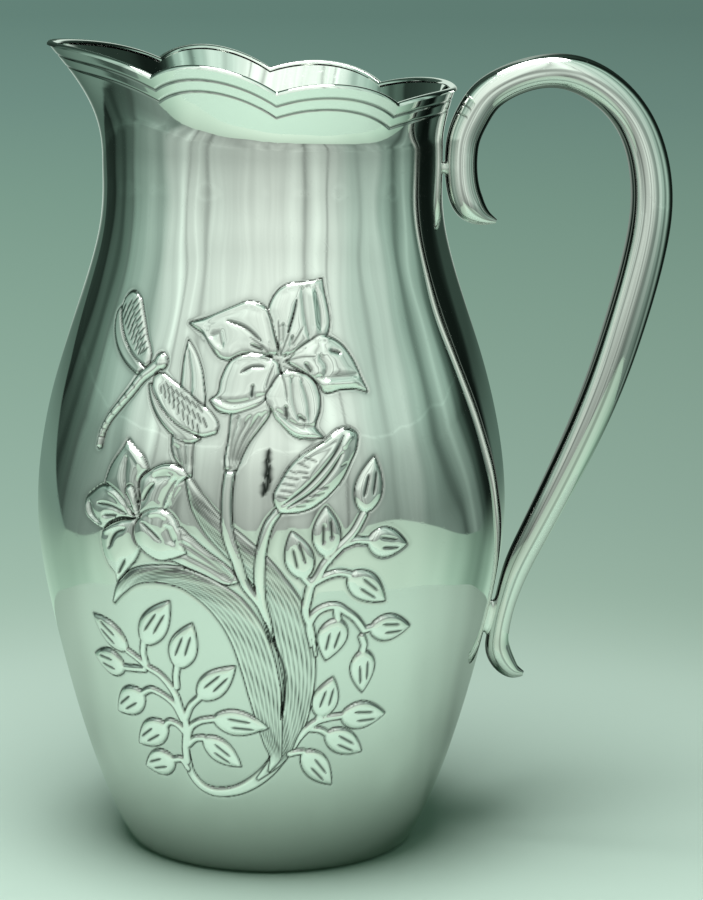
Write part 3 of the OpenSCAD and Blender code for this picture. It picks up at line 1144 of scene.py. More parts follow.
class Bouquet:
    """The lilies, bud, leaves and dragonfly of a chased side."""

    stem_rise = Rise(0.42, 0.42, 1.0)
    twig_rise = Rise(0.30, 0.34, 0.9)
    small_rise = Rise(1.2, 0.5, 1.0)
    tail_rise = Rise(0.5, 0.55, 1.2)
    head_rise = Rise(0.6, 0.8, 1.9)
    loop_halves = (2.3, 1.9, 1.4, 1.2, 1.1)
    lily_halves = (1.25, 1.3, 1.2, 0.5)
    bud_halves = (0.9, 1.15, 1.2, 1.1, 0.4)
    left_halves = (1.1, 1.0, 0.95, 0.85)
    right_halves = (0.3, 1.0, 0.95, 0.85)
    small_halves = (1.3, 0.9, 0.5, 0.4)
    tail_halves = (1.5, 1.3, 1.1, 0.9, 0.8)
    gap_cut = Cut(0.55, 0.5, 1.0)
    dash_cut = Cut(0.26, 0.14, 0.8)
    throat_cut = Cut(0.32, 0.2, 0.75)
    stamen_cut = Cut(0.5, 0.3, 0.7)
    stamen_half, stamen_rise = 0.4, 0.4
    ring_cut = Cut(0.24, 0.16, 0.7)
    ring_half = 0.9
    ring_shares = (0.3, 0.92)
    rings = 8
    tarnish_cut = Cut(0.9, 0.02, 1.0)
    left_twig = (
        (-25.9, 36.4), (-25.7, 40.0), (-24.9, 45.0), (-24.7, 48.6), (-25.9, 52.7), (-26.7, 56.4),
        (-28.3, 59.5), (-30.8, 62.3), (-34.0, 63.9), (-36.9, 66.1), (-39.7, 67.7),
    )
    loop_stem = (
        (2.0, 40.0), (-2.0, 34.5), (-6.0, 31.0), (-10.5, 28.5), (-15.0, 27.3), (-19.0, 27.3), (-22.5, 29.0),
        (-25.0, 32.5), (-25.8, 37.0),
    )
    left_leaves = (
        Leaf((-39.9, 68.0), (-50.3, 76.6), 3.3),
        Leaf((-41.8, 62.3), (-52.9, 64.0), 3.6, ((-35.2, 63.0), (-38.5, 62.6))),
        Leaf((-34.2, 71.0), (-25.7, 84.5), 3.6, ((-34.4, 65.0), (-34.8, 68.0))),
        Leaf((-25.3, 65.0), (-20.2, 78.6), 3.6, ((-26.1, 59.0), (-25.9, 62.3))),
        Leaf((-20.0, 56.4), (-10.0, 66.6), 3.4, ((-24.3, 50.0), (-22.6, 53.6))),
        Leaf((-16.5, 50.3), (-1.9, 48.4), 3.5, ((-24.7, 43.2), (-23.4, 46.8), (-20.6, 49.1))),
        Leaf((-19.8, 44.1), (-9.6, 35.9), 3.3, ((-24.7, 41.4), (-22.2, 43.6))),
        Leaf(
            (-36.9, 55.5), (-47.7, 48.0), 3.7, ((-25.5, 49.1), (-27.5, 53.6), (-30.8, 56.1), (-34.0, 57.0)),
        ),
        Leaf((-30.8, 46.8), (-41.8, 39.3), 3.6, ((-25.5, 45.5), (-27.5, 47.5), (-30.0, 47.7))),
        Leaf((-30.0, 36.0), (-41.1, 32.3), 3.6, ((-25.9, 34.1), (-27.5, 36.4))),
    )
    right_twigs = (
        ((9.9, 70.0), (8.6, 77.5), (7.0, 83.5), (7.4, 86.4), (8.4, 90.9), (9.2, 92.0), (11.4, 96.5),
         (15.0, 101.0), (18.1, 104.5), (20.8, 109.5)),
        ((8.6, 73.0), (8.0, 79.0), (9.6, 82.7), (12.0, 84.1), (14.5, 84.1), (16.9, 82.3), (19.4, 80.0),
         (21.0, 77.7), (21.8, 76.4)),
        ((5.5, 41.8), (7.2, 45.5), (8.8, 47.7), (10.8, 49.5), (13.7, 50.5), (17.7, 50.9)),
    )
    right_leaves = (
        Leaf((20.8, 110.0), (24.1, 124.5), 3.4),
        Leaf((11.8, 98.5), (11.6, 112.0), 3.3, ((12.2, 97.2),)),
        Leaf((6.7, 92.5), (3.6, 105.5), 3.3, ((8.2, 90.6),)),
        Leaf((21.7, 102.0), (32.0, 100.0), 3.7, ((15.0, 101.0), (18.6, 102.4))),
        Leaf((17.2, 93.0), (26.7, 84.5), 3.5, ((8.5, 91.0), (12.5, 93.2), (15.3, 93.6))),
        Leaf((14.9, 80.5), (12.5, 68.4), 3.7, ((14.5, 83.2),)),
        Leaf((23.4, 76.8), (34.8, 75.9), 3.5, ((21.8, 76.4),)),
        Leaf((22.0, 70.5), (23.2, 57.7), 3.3, ((21.4, 74.5), (22.2, 71.8))),
        Leaf((12.0, 51.1), (14.7, 63.0), 3.5, ((11.2, 49.8),)),
        Leaf((17.9, 50.9), (31.2, 50.0), 3.8),
        Leaf((14.1, 45.9), (25.5, 39.1), 3.4, ((8.8, 47.7), (12.9, 46.8))),
        Leaf((8.0, 40.5), (17.3, 29.5), 3.5, ((4.3, 40.0), (6.4, 40.5))),
    )
    left_strap = Strap(
        ((-41.8, 82.0), (-39.0, 86.5), (-34.5, 90.5), (-28.0, 92.1), (-22.0, 91.7), (-16.0, 88.5),
         (-11.0, 83.8), (-7.0, 76.5), (-4.5, 68.0), (-2.7, 59.0), (-1.6, 51.0), (-0.5, 44.0),
         (0.2, 39.0), (-1.4, 35.0)),
        (0.5, 3.0, 4.0, 4.6, 5.5, 7.0, 8.8, 9.4, 9.6, 9.2, 7.5, 5.4, 3.2, 0.6), 7,
    )
    right_strap = Strap(
        ((-20.8, 118.5), (-18.0, 112.5), (-14.0, 106.5), (-9.5, 101.5), (-5.0, 96.5), (-0.8, 90.5),
         (2.0, 84.5), (3.9, 77.0), (5.4, 69.0), (6.1, 61.0), (5.7, 54.0), (4.6, 47.5), (2.5, 41.0),
         (-0.6, 36.8), (-4.6, 32.6)),
        (1.5, 4.5, 6.0, 7.0, 7.5, 7.5, 9.0, 9.7, 9.8, 8.5, 7.7, 7.0, 5.0, 3.0, 0.8), 7,
    )
    strap_gap = ((-2.4, 80.0), (-0.2, 73.2), (1.7, 68.2), (2.5, 62.3), (2.3, 56.4), (1.7, 51.0))
    lily_stem = (
        (-10.8, 122.0), (-11.4, 115.5), (-11.4, 109.5), (-10.9, 104.5), (-9.2, 98.3), (-7.2, 91.0),
        (-3.8, 85.0), (-1.8, 80.0),
    )
    bud_stem = (
        (0.3, 110.8), (-1.4, 108.0), (-2.4, 105.0), (-3.2, 101.0), (-3.6, 97.0), (-3.7, 90.0), (-3.2, 85.0),
        (-1.8, 80.0), (-0.8, 74.5),
    )
    lance = Petal(
        ((-24.5, 155.2), (-22.2, 152.5), (-19.8, 147.9), (-18.6, 142.9), (-18.1, 139.7), (-19.2, 134.0),
         (-20.2, 129.3), (-20.4, 124.7), (-20.2, 119.7), (-21.8, 119.4), (-23.4, 122.5), (-25.1, 125.2),
         (-25.9, 129.7), (-25.6, 137.0), (-25.0, 144.7), (-25.1, 150.0)),
        folds=(((-24.0, 152.5), (-22.4, 146.0), (-22.0, 141.0)), ((-24.6, 127.5), (-22.4, 121.5)),
               ((-22.4, 129.0), (-21.4, 121.0))),
        rise=Rise(0.32, 0.5, 2.6),
    )
    lily_tube = Petal(
        ((-11.0, 139.0), (-11.2, 136.5), (-11.4, 130.5), (-12.1, 124.5), (-11.9, 121.6), (-9.6, 121.6),
         (-8.3, 125.5), (-6.5, 129.5), (-3.8, 133.5), (-1.6, 137.0), (-1.0, 141.0)),
        folds=(((-10.6, 122.2), (-9.9, 128.0), (-6.4, 136.0)),
               ((-10.2, 122.2), (-8.4, 128.6), (-4.2, 136.5)),
               ((-11.0, 122.2), (-10.7, 129.0), (-9.2, 136.0)),
               ((-9.8, 122.4), (-7.2, 129.6), (-2.6, 137.0))),
        slits=(((-12.0, 122.0), (-10.8, 121.5), (-9.4, 122.0)),),
        rise=Rise(0.45, 0.5, 2.8),
    )
    lily_petals = (
        Petal(
            ((-24.9, 159.8), (-19.9, 161.3), (-12.3, 164.5), (-7.9, 166.0), (-2.9, 164.5), (-1.1, 161.0),
             (-0.2, 157.5), (0.6, 152.5), (-3.8, 152.0), (-9.2, 152.3), (-12.3, 150.8), (-15.0, 151.3),
             (-17.7, 154.0), (-19.9, 157.0), (-23.1, 158.8)),
            rims=(((-20.0, 160.6), (-12.3, 163.8), (-7.9, 165.2), (-3.4, 163.8)),
                  ((-2.6, 163.6), (-1.6, 160.6), (-0.8, 157.0), (0.4, 153.0)),
                  ((-20.4, 157.8), (-17.6, 155.0), (-14.8, 152.4))),
            folds=(((-18.0, 156.6), (-15.4, 157.6), (-14.4, 154.0)),),
            slits=(((-13.7, 160.8), (-7.9, 158.8), (-3.8, 155.5)), ((-6.6, 154.6), (-3.6, 153.4))),
        ),
        Petal(
            ((-2.0, 164.0), (-1.1, 166.5), (1.1, 169.3), (3.3, 170.5), (7.8, 171.0), (14.1, 171.8),
             (14.3, 169.0), (15.0, 164.5), (15.2, 160.5), (14.1, 157.0), (6.0, 153.0), (1.5, 152.0),
             (-0.2, 157.5), (-1.1, 161.0)),
            rims=(((1.4, 168.6), (3.6, 169.8), (7.8, 170.3), (13.4, 171.0)),
                  ((10.2, 169.2), (10.6, 162.6), (10.8, 157.4))),
            folds=(((7.8, 169.0), (8.3, 162.0), (9.2, 156.5)),
                   ((11.8, 169.0), (12.7, 163.0), (12.5, 158.5)), ((2.0, 160.0), (1.8, 155.0))),
            slits=(((6.0, 166.3), (4.8, 162.0), (3.3, 158.0)), ((4.6, 157.0), (3.8, 154.6))),
        ),
        Petal(
            ((2.9, 150.5), (6.0, 153.5), (10.0, 156.0), (12.3, 157.0), (15.0, 156.5), (18.1, 154.5),
             (20.8, 150.5), (22.6, 145.5), (23.9, 142.0), (21.7, 142.8), (16.8, 143.0), (12.3, 142.5),
             (10.9, 144.8), (6.5, 148.0)),
            rims=(((10.4, 155.6), (12.4, 156.4), (14.8, 155.8)),
                  ((11.0, 144.4), (16.8, 144.3), (21.4, 144.4))),
            folds=(((10.6, 146.2), (16.0, 146.2), (21.2, 146.4)),
                   ((11.6, 151.6), (13.2, 149.0), (12.8, 146.6))),
            slits=(((7.6, 149.8), (9.2, 147.4)), ((14.4, 153.0), (17.4, 152.2))),
        ),
        Petal(
            ((0.6, 150.0), (-2.9, 152.0), (-7.9, 152.3), (-11.9, 150.5), (-14.1, 146.0), (-15.0, 141.5),
             (-16.8, 140.0), (-14.6, 137.5), (-11.4, 136.8), (-7.4, 137.8), (-3.4, 140.0), (-2.5, 141.0),
             (-1.1, 144.0), (1.1, 147.0)),
            rims=(((-11.0, 150.6), (-7.9, 151.5), (-3.2, 151.2)),
                  ((-15.6, 139.4), (-11.4, 137.7), (-7.4, 138.6), (-3.6, 140.6))),
            folds=(((-15.0, 140.4), (-11.0, 139.4), (-6.5, 140.2), (-3.2, 141.6)),),
            slits=(((-9.0, 147.4), (-6.4, 148.8), (-2.9, 149.0)), ((-5.8, 144.2), (-6.1, 141.0))),
        ),
        Petal(
            ((1.1, 147.0), (2.9, 148.0), (6.9, 147.5), (9.6, 145.5), (10.9, 142.5), (10.9, 138.0),
             (9.6, 133.0), (11.4, 130.5), (8.7, 130.3), (5.1, 130.8), (2.0, 133.5), (-0.2, 136.5),
             (-1.6, 139.0), (-2.5, 141.0), (-1.1, 144.0)),
            rims=(((1.6, 146.8), (4.0, 147.4), (7.0, 146.8)),
                  ((-1.2, 138.0), (1.4, 135.0), (5.1, 131.8), (9.8, 131.3))),
            folds=(((0.2, 137.6), (2.6, 135.2), (5.2, 133.8), (9.4, 133.4)),
                   ((4.0, 146.0), (4.4, 140.0), (5.6, 135.2)),
                   ((6.6, 145.4), (8.0, 140.0), (8.2, 135.0))),
            slits=(((2.4, 138.8), (2.6, 135.6)), ((5.4, 136.2), (7.2, 134.8))),
        ),
    )
    small_tube = Petal(
        ((-24.0, 104.0), (-22.2, 105.6), (-17.0, 100.4), (-9.2, 92.9), (-8.6, 91.4), (-10.8, 90.6),
         (-17.0, 93.2), (-24.7, 96.5)),
        folds=(((-21.6, 101.6), (-15.0, 96.6), (-10.0, 92.0)),
               ((-22.0, 99.0), (-15.0, 95.0), (-10.4, 91.6)),
               ((-21.0, 103.6), (-15.0, 98.2), (-9.8, 92.6))),
        rise=Rise(0.45, 0.5, 2.6),
    )
    small_petals = (
        Petal(
            ((-43.8, 115.6), (-42.6, 119.7), (-39.7, 124.7), (-38.1, 127.5), (-36.5, 126.1),
             (-33.2, 123.4), (-31.6, 120.6), (-33.6, 117.9), (-33.6, 112.9), (-34.4, 108.0),
             (-38.0, 111.0)),
            rims=(((-37.6, 126.0), (-35.2, 123.8), (-32.8, 121.0)),),
            folds=(((-37.4, 123.0), (-37.0, 116.0), (-35.4, 110.6)),),
        ),
        Petal(
            ((-33.4, 108.0), (-32.8, 111.5), (-33.2, 117.5), (-30.8, 120.2), (-25.9, 122.5),
             (-23.4, 122.0), (-20.8, 119.7), (-23.4, 117.5), (-25.1, 113.8), (-26.3, 110.2),
             (-30.0, 108.6)),
            rims=(((-30.4, 119.6), (-26.4, 121.6), (-22.6, 120.6)),
                  ((-22.6, 118.2), (-24.6, 114.6), (-26.0, 110.8))),
            folds=(((-23.8, 118.6), (-25.6, 114.8), (-27.0, 110.6)), ((-29.4, 118.4), (-25.4, 119.2))),
            slits=(((-29.1, 116.9), (-30.4, 115.0), (-32.0, 111.8)),),
        ),
        Petal(
            ((-36.0, 109.4), (-39.7, 113.4), (-43.4, 114.7), (-47.9, 112.0), (-50.1, 109.7),
             (-49.5, 105.6), (-47.0, 103.8), (-43.8, 102.5), (-42.2, 104.3), (-38.5, 106.5),
             (-34.6, 107.0)),
            rims=(((-49.4, 109.0), (-48.6, 106.0), (-45.0, 103.4)),
                  ((-43.0, 113.8), (-39.6, 112.4), (-36.4, 109.2))),
            folds=(((-48.2, 109.2), (-46.8, 106.0), (-44.2, 104.2)),),
            slits=(((-45.0, 109.4), (-41.0, 109.4), (-36.5, 107.9)), ((-43.2, 106.4), (-39.4, 107.0))),
        ),
        Petal(
            ((-34.4, 106.4), (-38.4, 105.6), (-42.6, 102.9), (-44.0, 101.1), (-43.8, 97.0),
             (-42.2, 92.9), (-40.1, 90.2), (-40.1, 88.0), (-36.5, 92.5), (-34.4, 95.2), (-33.0, 98.4),
             (-33.0, 103.0)),
            rims=(((-43.2, 101.6), (-40.6, 103.4), (-37.0, 104.8)),),
            slits=(((-36.6, 103.6), (-39.4, 102.0), (-41.3, 97.9)), ((-36.7, 95.2), (-39.0, 91.0))),
        ),
        Petal(
            ((-33.2, 107.0), (-30.8, 109.3), (-26.7, 110.0), (-24.7, 108.8), (-22.6, 105.2),
             (-21.8, 101.5), (-20.8, 98.8), (-23.4, 97.5), (-27.5, 96.1), (-30.0, 97.0), (-32.8, 99.3),
             (-34.0, 102.0)),
            rims=(((-30.6, 108.6), (-27.0, 109.2), (-25.2, 108.0)),
                  ((-24.4, 107.6), (-22.8, 103.8), (-21.6, 99.6))),
            folds=(((-25.6, 105.6), (-23.8, 101.4)),),
            slits=(((-32.0, 106.1), (-29.4, 104.2), (-26.9, 101.8)),),
        ),
    )
    small_stamen = ((-35.7, 114.2), (-35.0, 112.6), (-33.9, 109.4), (-33.2, 107.4))
    bud = Petal(
        ((16.3, 132.5), (11.4, 129.4), (6.9, 126.5), (4.2, 124.0), (1.1, 119.0), (-0.5, 115.0),
         (0.0, 112.5), (0.6, 111.2), (4.2, 110.8), (7.8, 111.8), (11.4, 114.5), (15.0, 118.5),
         (17.7, 123.5), (19.7, 128.0), (19.9, 131.0), (18.2, 132.4)),
        rims=(((4.6, 123.6), (7.6, 126.2), (12.0, 128.8), (15.6, 131.4)),
              ((15.6, 127.4), (17.6, 130.2), (18.6, 131.2))),
        slits=(((1.6, 112.9), (6.4, 117.0), (11.0, 122.2), (14.2, 126.6), (16.4, 130.8)),
               ((2.6, 112.2), (8.6, 116.6), (13.0, 121.8), (15.6, 126.0))),
        rise=Rise(0.55, 1.0, 4.6),
    )
    bud_dashes = (
        ((3.0, 122.0), (4.8, 121.2)), ((2.0, 120.4), (5.4, 119.4)), ((1.2, 118.6), (4.4, 117.8)),
        ((0.6, 116.8), (3.6, 116.2)), ((0.2, 115.0), (2.8, 114.6)), ((4.8, 124.0), (7.6, 122.6)),
        ((6.4, 125.4), (9.4, 124.2)), ((4.4, 121.8), (7.4, 121.0)), ((5.8, 120.2), (7.8, 119.8)),
        ((5.4, 113.6), (9.0, 114.2)), ((7.4, 115.0), (11.0, 115.8)), ((9.4, 116.8), (12.4, 117.6)),
        ((4.6, 112.4), (7.0, 112.6)), ((15.0, 122.4), (16.8, 123.4)),
    )
    upper_wing = Wing(
        ((-35.4, 149.3), (-38.1, 155.6), (-40.9, 161.1), (-43.8, 165.4), (-47.2, 166.5), (-49.5, 164.7),
         (-49.9, 162.9), (-48.7, 158.8), (-46.6, 155.2), (-43.4, 151.8), (-38.9, 148.6), (-36.1, 147.2)),
        (-36.0, 148.4), (-48.2, 165.0), 9, 62.0, 2.3,
    )
    upper_hind_wing = Wing(
        ((-49.9, 162.7), (-51.7, 160.6), (-51.3, 157.0), (-49.1, 152.9), (-45.0, 148.8), (-40.5, 146.1),
         (-38.1, 145.2), (-36.5, 146.5), (-38.9, 148.6), (-43.4, 151.8), (-46.6, 155.2), (-48.7, 158.8)),
        (-38.0, 146.4), (-50.6, 160.6), 7, 105.0, 0.5,
    )
    lower_wing = Wing(
        ((-33.2, 145.2), (-31.6, 146.1), (-27.5, 144.3), (-23.4, 142.0), (-19.4, 139.0), (-15.7, 136.1),
         (-14.3, 133.4), (-14.7, 131.5), (-18.1, 130.5), (-21.4, 131.5), (-25.1, 133.4), (-28.3, 135.9),
         (-31.2, 139.3), (-33.2, 142.9)),
        (-32.6, 144.6), (-15.4, 132.6), 9, -62.0, 2.3,
    )
    lower_hind_wing = Wing(
        ((-34.4, 142.9), (-33.2, 139.3), (-30.8, 135.2), (-27.5, 131.8), (-24.3, 129.5), (-21.0, 128.6),
         (-18.6, 129.7), (-21.4, 131.5), (-25.1, 133.4), (-28.3, 135.9), (-31.2, 139.3), (-33.2, 142.9)),
        (-33.4, 141.6), (-20.4, 129.6), 6, -20.0, 0.4,
    )
    tail = (
        (-33.2, 148.0), (-34.0, 147.2), (-36.9, 144.7), (-39.7, 140.6), (-43.0, 136.1), (-45.8, 132.0),
        (-47.2, 128.4), (-47.5, 125.0),
    )
    darkening = (
        ((-1.6, 127.6), (-1.9, 125.6), (-1.5, 124.0)), ((-2.4, 125.2), (-2.1, 122.6), (-2.6, 119.8)),
        ((-1.4, 123.4), (-1.7, 121.0), (-1.3, 118.8)), ((-2.0, 121.0), (-1.9, 118.6), (-2.4, 116.2)),
        ((-2.9, 118.8), (-2.7, 117.2), (-3.1, 115.2)),
    )
    head = (-31.9, 149.2)
    head_half = 2.1
    throat = (
        ((0.9, 151.5), (3.4, 157.5), (5.0, 163.0)), ((1.6, 151.2), (5.0, 155.6), (7.6, 159.4)),
        ((0.4, 151.8), (0.9, 157.0), (0.6, 161.0)), ((-0.8, 151.4), (-4.0, 154.6), (-7.0, 156.6)),
        ((-1.2, 150.6), (-5.0, 151.6), (-8.4, 151.6)), ((2.0, 150.4), (6.4, 151.4), (10.4, 151.6)),
        ((1.4, 149.6), (5.0, 147.8), (8.6, 147.2)), ((-0.6, 149.4), (-1.8, 146.4), (-2.6, 143.4)),
        ((0.6, 149.0), (2.2, 144.6), (2.8, 140.4)),
    )
    stamens = (
        ((0.6, 150.5), (2.6, 152.8), (5.2, 154.8)), ((0.4, 150.6), (1.0, 153.6), (1.6, 156.4)),
        ((0.8, 150.4), (4.2, 152.2), (8.0, 153.8)), ((0.2, 150.6), (-1.2, 153.4), (-1.8, 155.6)),
        ((0.6, 150.6), (3.2, 153.8), (4.4, 156.8)),
    )

    def draw(self, chasing: Chasing) -> None:
        """Draws everything from the back to the front.

        Args:
            chasing: The side it is drawn on.
        """
        chasing.emboss(chasing.stem(self.loop_stem, self.loop_halves, self.twig_rise))
        self.lance.draw(chasing)
        self.right_strap.draw(chasing)
        chasing.emboss(
            chasing.stem(self.lily_stem, self.lily_halves, self.stem_rise),
            chasing.stem(self.bud_stem, self.bud_halves, self.stem_rise),
        )
        self.small_tube.draw(chasing)
        self.left_strap.draw(chasing)
        chasing.cut(self.strap_gap, self.gap_cut)
        self._sprays(chasing)
        self.lily_tube.draw(chasing)
        self.bud.draw(chasing)
        for dash in self.bud_dashes:
            chasing.cut(dash, self.dash_cut)
        self._lilies(chasing)
        self._dragonfly(chasing)
        for line in self.darkening:
            chasing.cut(line, self.tarnish_cut)

    def _sprays(self, chasing: Chasing) -> None:
        """Twigs with their small leaves.

        Args:
            chasing: The side it is drawn on.
        """
        left = [chasing.stem(self.left_twig, self.left_halves, self.twig_rise)]
        right = [chasing.stem(twig, self.right_halves, self.twig_rise) for twig in self.right_twigs]
        for twigs, leaves in ((right, self.right_leaves), (left, self.left_leaves)):
            chasing.emboss(*twigs, *(form for leaf in leaves for form in leaf.forms(chasing)))
            for leaf in leaves:
                leaf.slits(chasing)

    def _lilies(self, chasing: Chasing) -> None:
        """Both flowers with their stamens.

        Args:
            chasing: The side it is drawn on.
        """
        for petal in self.small_petals:
            petal.draw(chasing)
        chasing.emboss(chasing.stem(self.small_stamen, self.small_halves, self.small_rise))
        for petal in self.lily_petals:
            petal.draw(chasing)
        for line in self.throat:
            chasing.cut(line, self.throat_cut)
        for stamen in self.stamens:
            chasing.cut(stamen, self.stamen_cut)
            chasing.crest(stamen, self.stamen_half, self.stamen_rise)

    def _dragonfly(self, chasing: Chasing) -> None:
        """Wings, ringed tail and head.

        Args:
            chasing: The side it is drawn on.
        """
        for wing in (self.upper_hind_wing, self.lower_hind_wing, self.upper_wing, self.lower_wing):
            wing.draw(chasing)
        across, up = Chasing.millimetres(self.head)
        head = self.head_half - np.hypot(chasing.across[None, :] - across, chasing.up[:, None] - up)
        chasing.emboss(chasing.stem(self.tail, self.tail_halves, self.tail_rise), (head, self.head_rise))
        line = flowing(Chasing.millimetres(self.tail), chasing.line_steps)
        for share in np.linspace(*self.ring_shares, self.rings):
            i = int(share * (len(line) - 1))
            side = left_of(line[i + 1] - line[i - 1]) * self.ring_half
            chasing.cut(Chasing.angles([line[i] - side, line[i] + side]), self.ring_cut)


@dataclass(frozen=True)
class Body:
    """The raised shell with its chased sides and the two lines below its lip."""

    wall: Wall = Wall()
    lip: Lip = Lip()
    panel_angles: Pair = (-56.0, 39.0)
    panel_heights: Pair = (25.0, 173.5)
    column_step: float = 1.0 / 3.0
    widest_column: float = 1.3
    row_step: float = 0.38
    widest_below: float = 1.5
    widest_above: float = 1.2
    foot_rows: int = 4
    flare_rows: int = 13
    lined_run: float = 8.0
    lined_row: float = 0.3
    unlined_run: float = 1.5
    unlined_rows: Pair = (0.4, 1.2)
    inner_lip_rows: int = 22
    inner_wall_rows: int = 70
    inner_foot_rows: int = 3
    lip_lines: tuple[float, ...] = (2.8, 6.0)
    line_half: float = 0.24
    line_depth: float = 0.25
    line_dark: float = 0.9
    raised_wave: float = 0.018
    wave_runs: Sequence[Triple] = (
        (7, 61.0, 0.3), (11, 43.0, 1.9), (17, 37.0, 4.1), (23, 29.0, 2.6), (5, 83.0, 5.2),
    )
    wave_sway: float = 0.8
    wave_lag: float = 1.7
    wave_twist: Pair = (0.5, 3.0)
    foot_calm: Pair = (8.0, 30.0)
    lip_calm: Pair = (1.0, 9.0)
    # Painted shade of the plain wall by height: darkest at the foot, where the mirrored floor lies in the
    # pitcher's shadow, and again below the lip.
    darkening: Places = (
        (0.0, 0.58), (8.0, 0.56), (20.0, 0.47), (35.0, 0.33), (50.0, 0.21), (70.0, 0.14), (88.0, 0.12),
        (105.0, 0.0), (172.0, 0.0), (188.0, 0.12), (197.0, 0.24), (200.0, 0.30), (204.0, 0.42), (230.0, 0.42),
    )
    bend_soft: Pair = (-0.2, 0.8)
    crest_spared_h: float = 0.45
    crest_spared: float = 0.9
    crease: float = 50.0

    def panel_turns(self) -> Pair:
        """First and last turn of the near chased side, from the spout."""
        low, high = self.panel_angles
        return 90.0 + low, 90.0 + high

    def columns(self) -> Array:
        """Columns of the shell, fine on the chased sides and wider between them.

        Returns:
            Turn of each column from the spout.
        """
        low, high = self.panel_turns()
        near = low + self.column_step * np.arange(round((high - low) / self.column_step) + 1)
        toward_spout = (low - graded(low, self.column_step, self.widest_column))[1:-1]
        back = (high + graded(180.0 - high, self.column_step, self.widest_column))[1:-1]
        half = np.concatenate([toward_spout[::-1], near, back])
        return np.concatenate([[0.0], half, [180.0], 360.0 - half[::-1]])

    def rows(self) -> Array:
        """Rows of the wall between foot and flare.

        Returns:
            Height of each row.
        """
        low, high = self.panel_heights
        panel = low + self.row_step * np.arange(round((high - low) / self.row_step) + 1)
        below = low - graded(low - self.wall.foot_z, self.row_step, self.widest_below)
        above = panel[-1] + graded(self.wall.flare_z - panel[-1], self.row_step, self.widest_above)
        return np.concatenate([below[:0:-1], panel, above[1:]])

    def waves(self, turn: Array, height: Array) -> Array:
        """Slight waves that raising and planishing leave in the sheet.

        Args:
            turn: Turn of each column, as a row.
            height: Height of each row, as a column.

        Returns:
            Millimetres off the true wall.
        """
        around = np.radians(turn)
        total = np.zeros(np.broadcast_shapes(turn.shape, height.shape))
        twist, twists = self.wave_twist
        for count, run, phase in self.wave_runs:
            round_wave = np.sin(count * around + phase + self.wave_sway * np.sin(height / run))
            climb = 2.0 * math.pi * height / run + self.wave_lag * phase
            total = total + round_wave * np.sin(climb + twist * np.sin(twists * around))
        return self.raised_wave * total

    def painted_shade(self, height: Array) -> Array:
        """Painted shade of the plain wall, most at the foot and below the lip."""
        places, amounts = zip(*self.darkening)
        return np.interp(height, places, amounts)

    def chased(self, turn: Array, height: Array) -> tuple[Array, Array]:
        """Relief of both sides on the body's grid.

        Args:
            turn: Turn of each column.
            height: Height of each row.

        Returns:
            Height of the relief and its patina with painted shade round the forms, one row each.
        """
        low, high = self.panel_turns()
        slack = self.column_step / 2.0
        near = np.flatnonzero((turn > low - slack) & (turn < high + slack))
        far = np.flatnonzero((turn > 360.0 - high - slack) & (turn < 360.0 - low + slack))
        chasing = Chasing(turn[near] - 90.0, height)
        Bouquet().draw(chasing)
        relief = np.zeros((len(height), len(turn)))
        patina_and_shade = np.zeros_like(relief)
        for whole, side in ((relief, chasing.height), (patina_and_shade, chasing.patina_and_shade)):
            whole[:, near], whole[:, far] = side, side[:, ::-1]
        return relief, patina_and_shade

    def build(self, finish: SilverFinish) -> None:
        """Builds the shell, outside and inside, and dresses it.

        Args:
            finish: Its finish.
        """
        turn, height = self.columns(), self.rows()
        edge = self.lip.edge(turn, self.wall)
        arc = self.wall.foot_arc(self.foot_rows)
        foot = np.broadcast_to(arc[:, None, :], (len(arc), len(turn), 2))
        relief, patina_and_shade = self.chased(turn, height)
        calm = ease(height, *self.foot_calm)[:, None]
        relief = relief + self.waves(turn[None, :], height[:, None]) * calm
        slope = self.wall.slope(height)[:, None]
        lean = np.hypot(1.0, slope)
        out = self.wall.radius(height)[:, None] + relief / lean
        shell = np.stack([out, height[:, None] - relief * (slope / lean)], axis=-1)
        # Painted shade of the plain wall, kept off the raised relief.
        worn = 1.0 - self.crest_spared * np.clip(relief / self.crest_spared_h, 0.0, 1.0)
        shell_patina_and_shade = np.maximum(patina_and_shade, self.painted_shade(height)[:, None] * worn)
        flare, flare_patina_and_shade = self._flare(turn, edge)
        inside = self._inside(turn, edge)
        loops = np.concatenate([foot, shell, flare, inside])
        # The round at the foot gets the wall's darkest painted shade.
        foot_painted_shade = np.full(foot.shape[:2], self.darkening[0][1])
        tint = np.concatenate([foot_painted_shade, shell_patina_and_shade, flare_patina_and_shade, np.zeros(inside.shape[:2])])
        points = turned_points(turn, loops[..., 0], loops[..., 1])
        piece = Piece("chased_body", points, grid_faces(len(loops), len(turn), True, True))
        piece.tinted(PATINA_AND_SHADE, np.clip(tint, 0.0, 1.0)).creased(self.crease)
        piece.dressed(finish, "silver_sheet", "body")

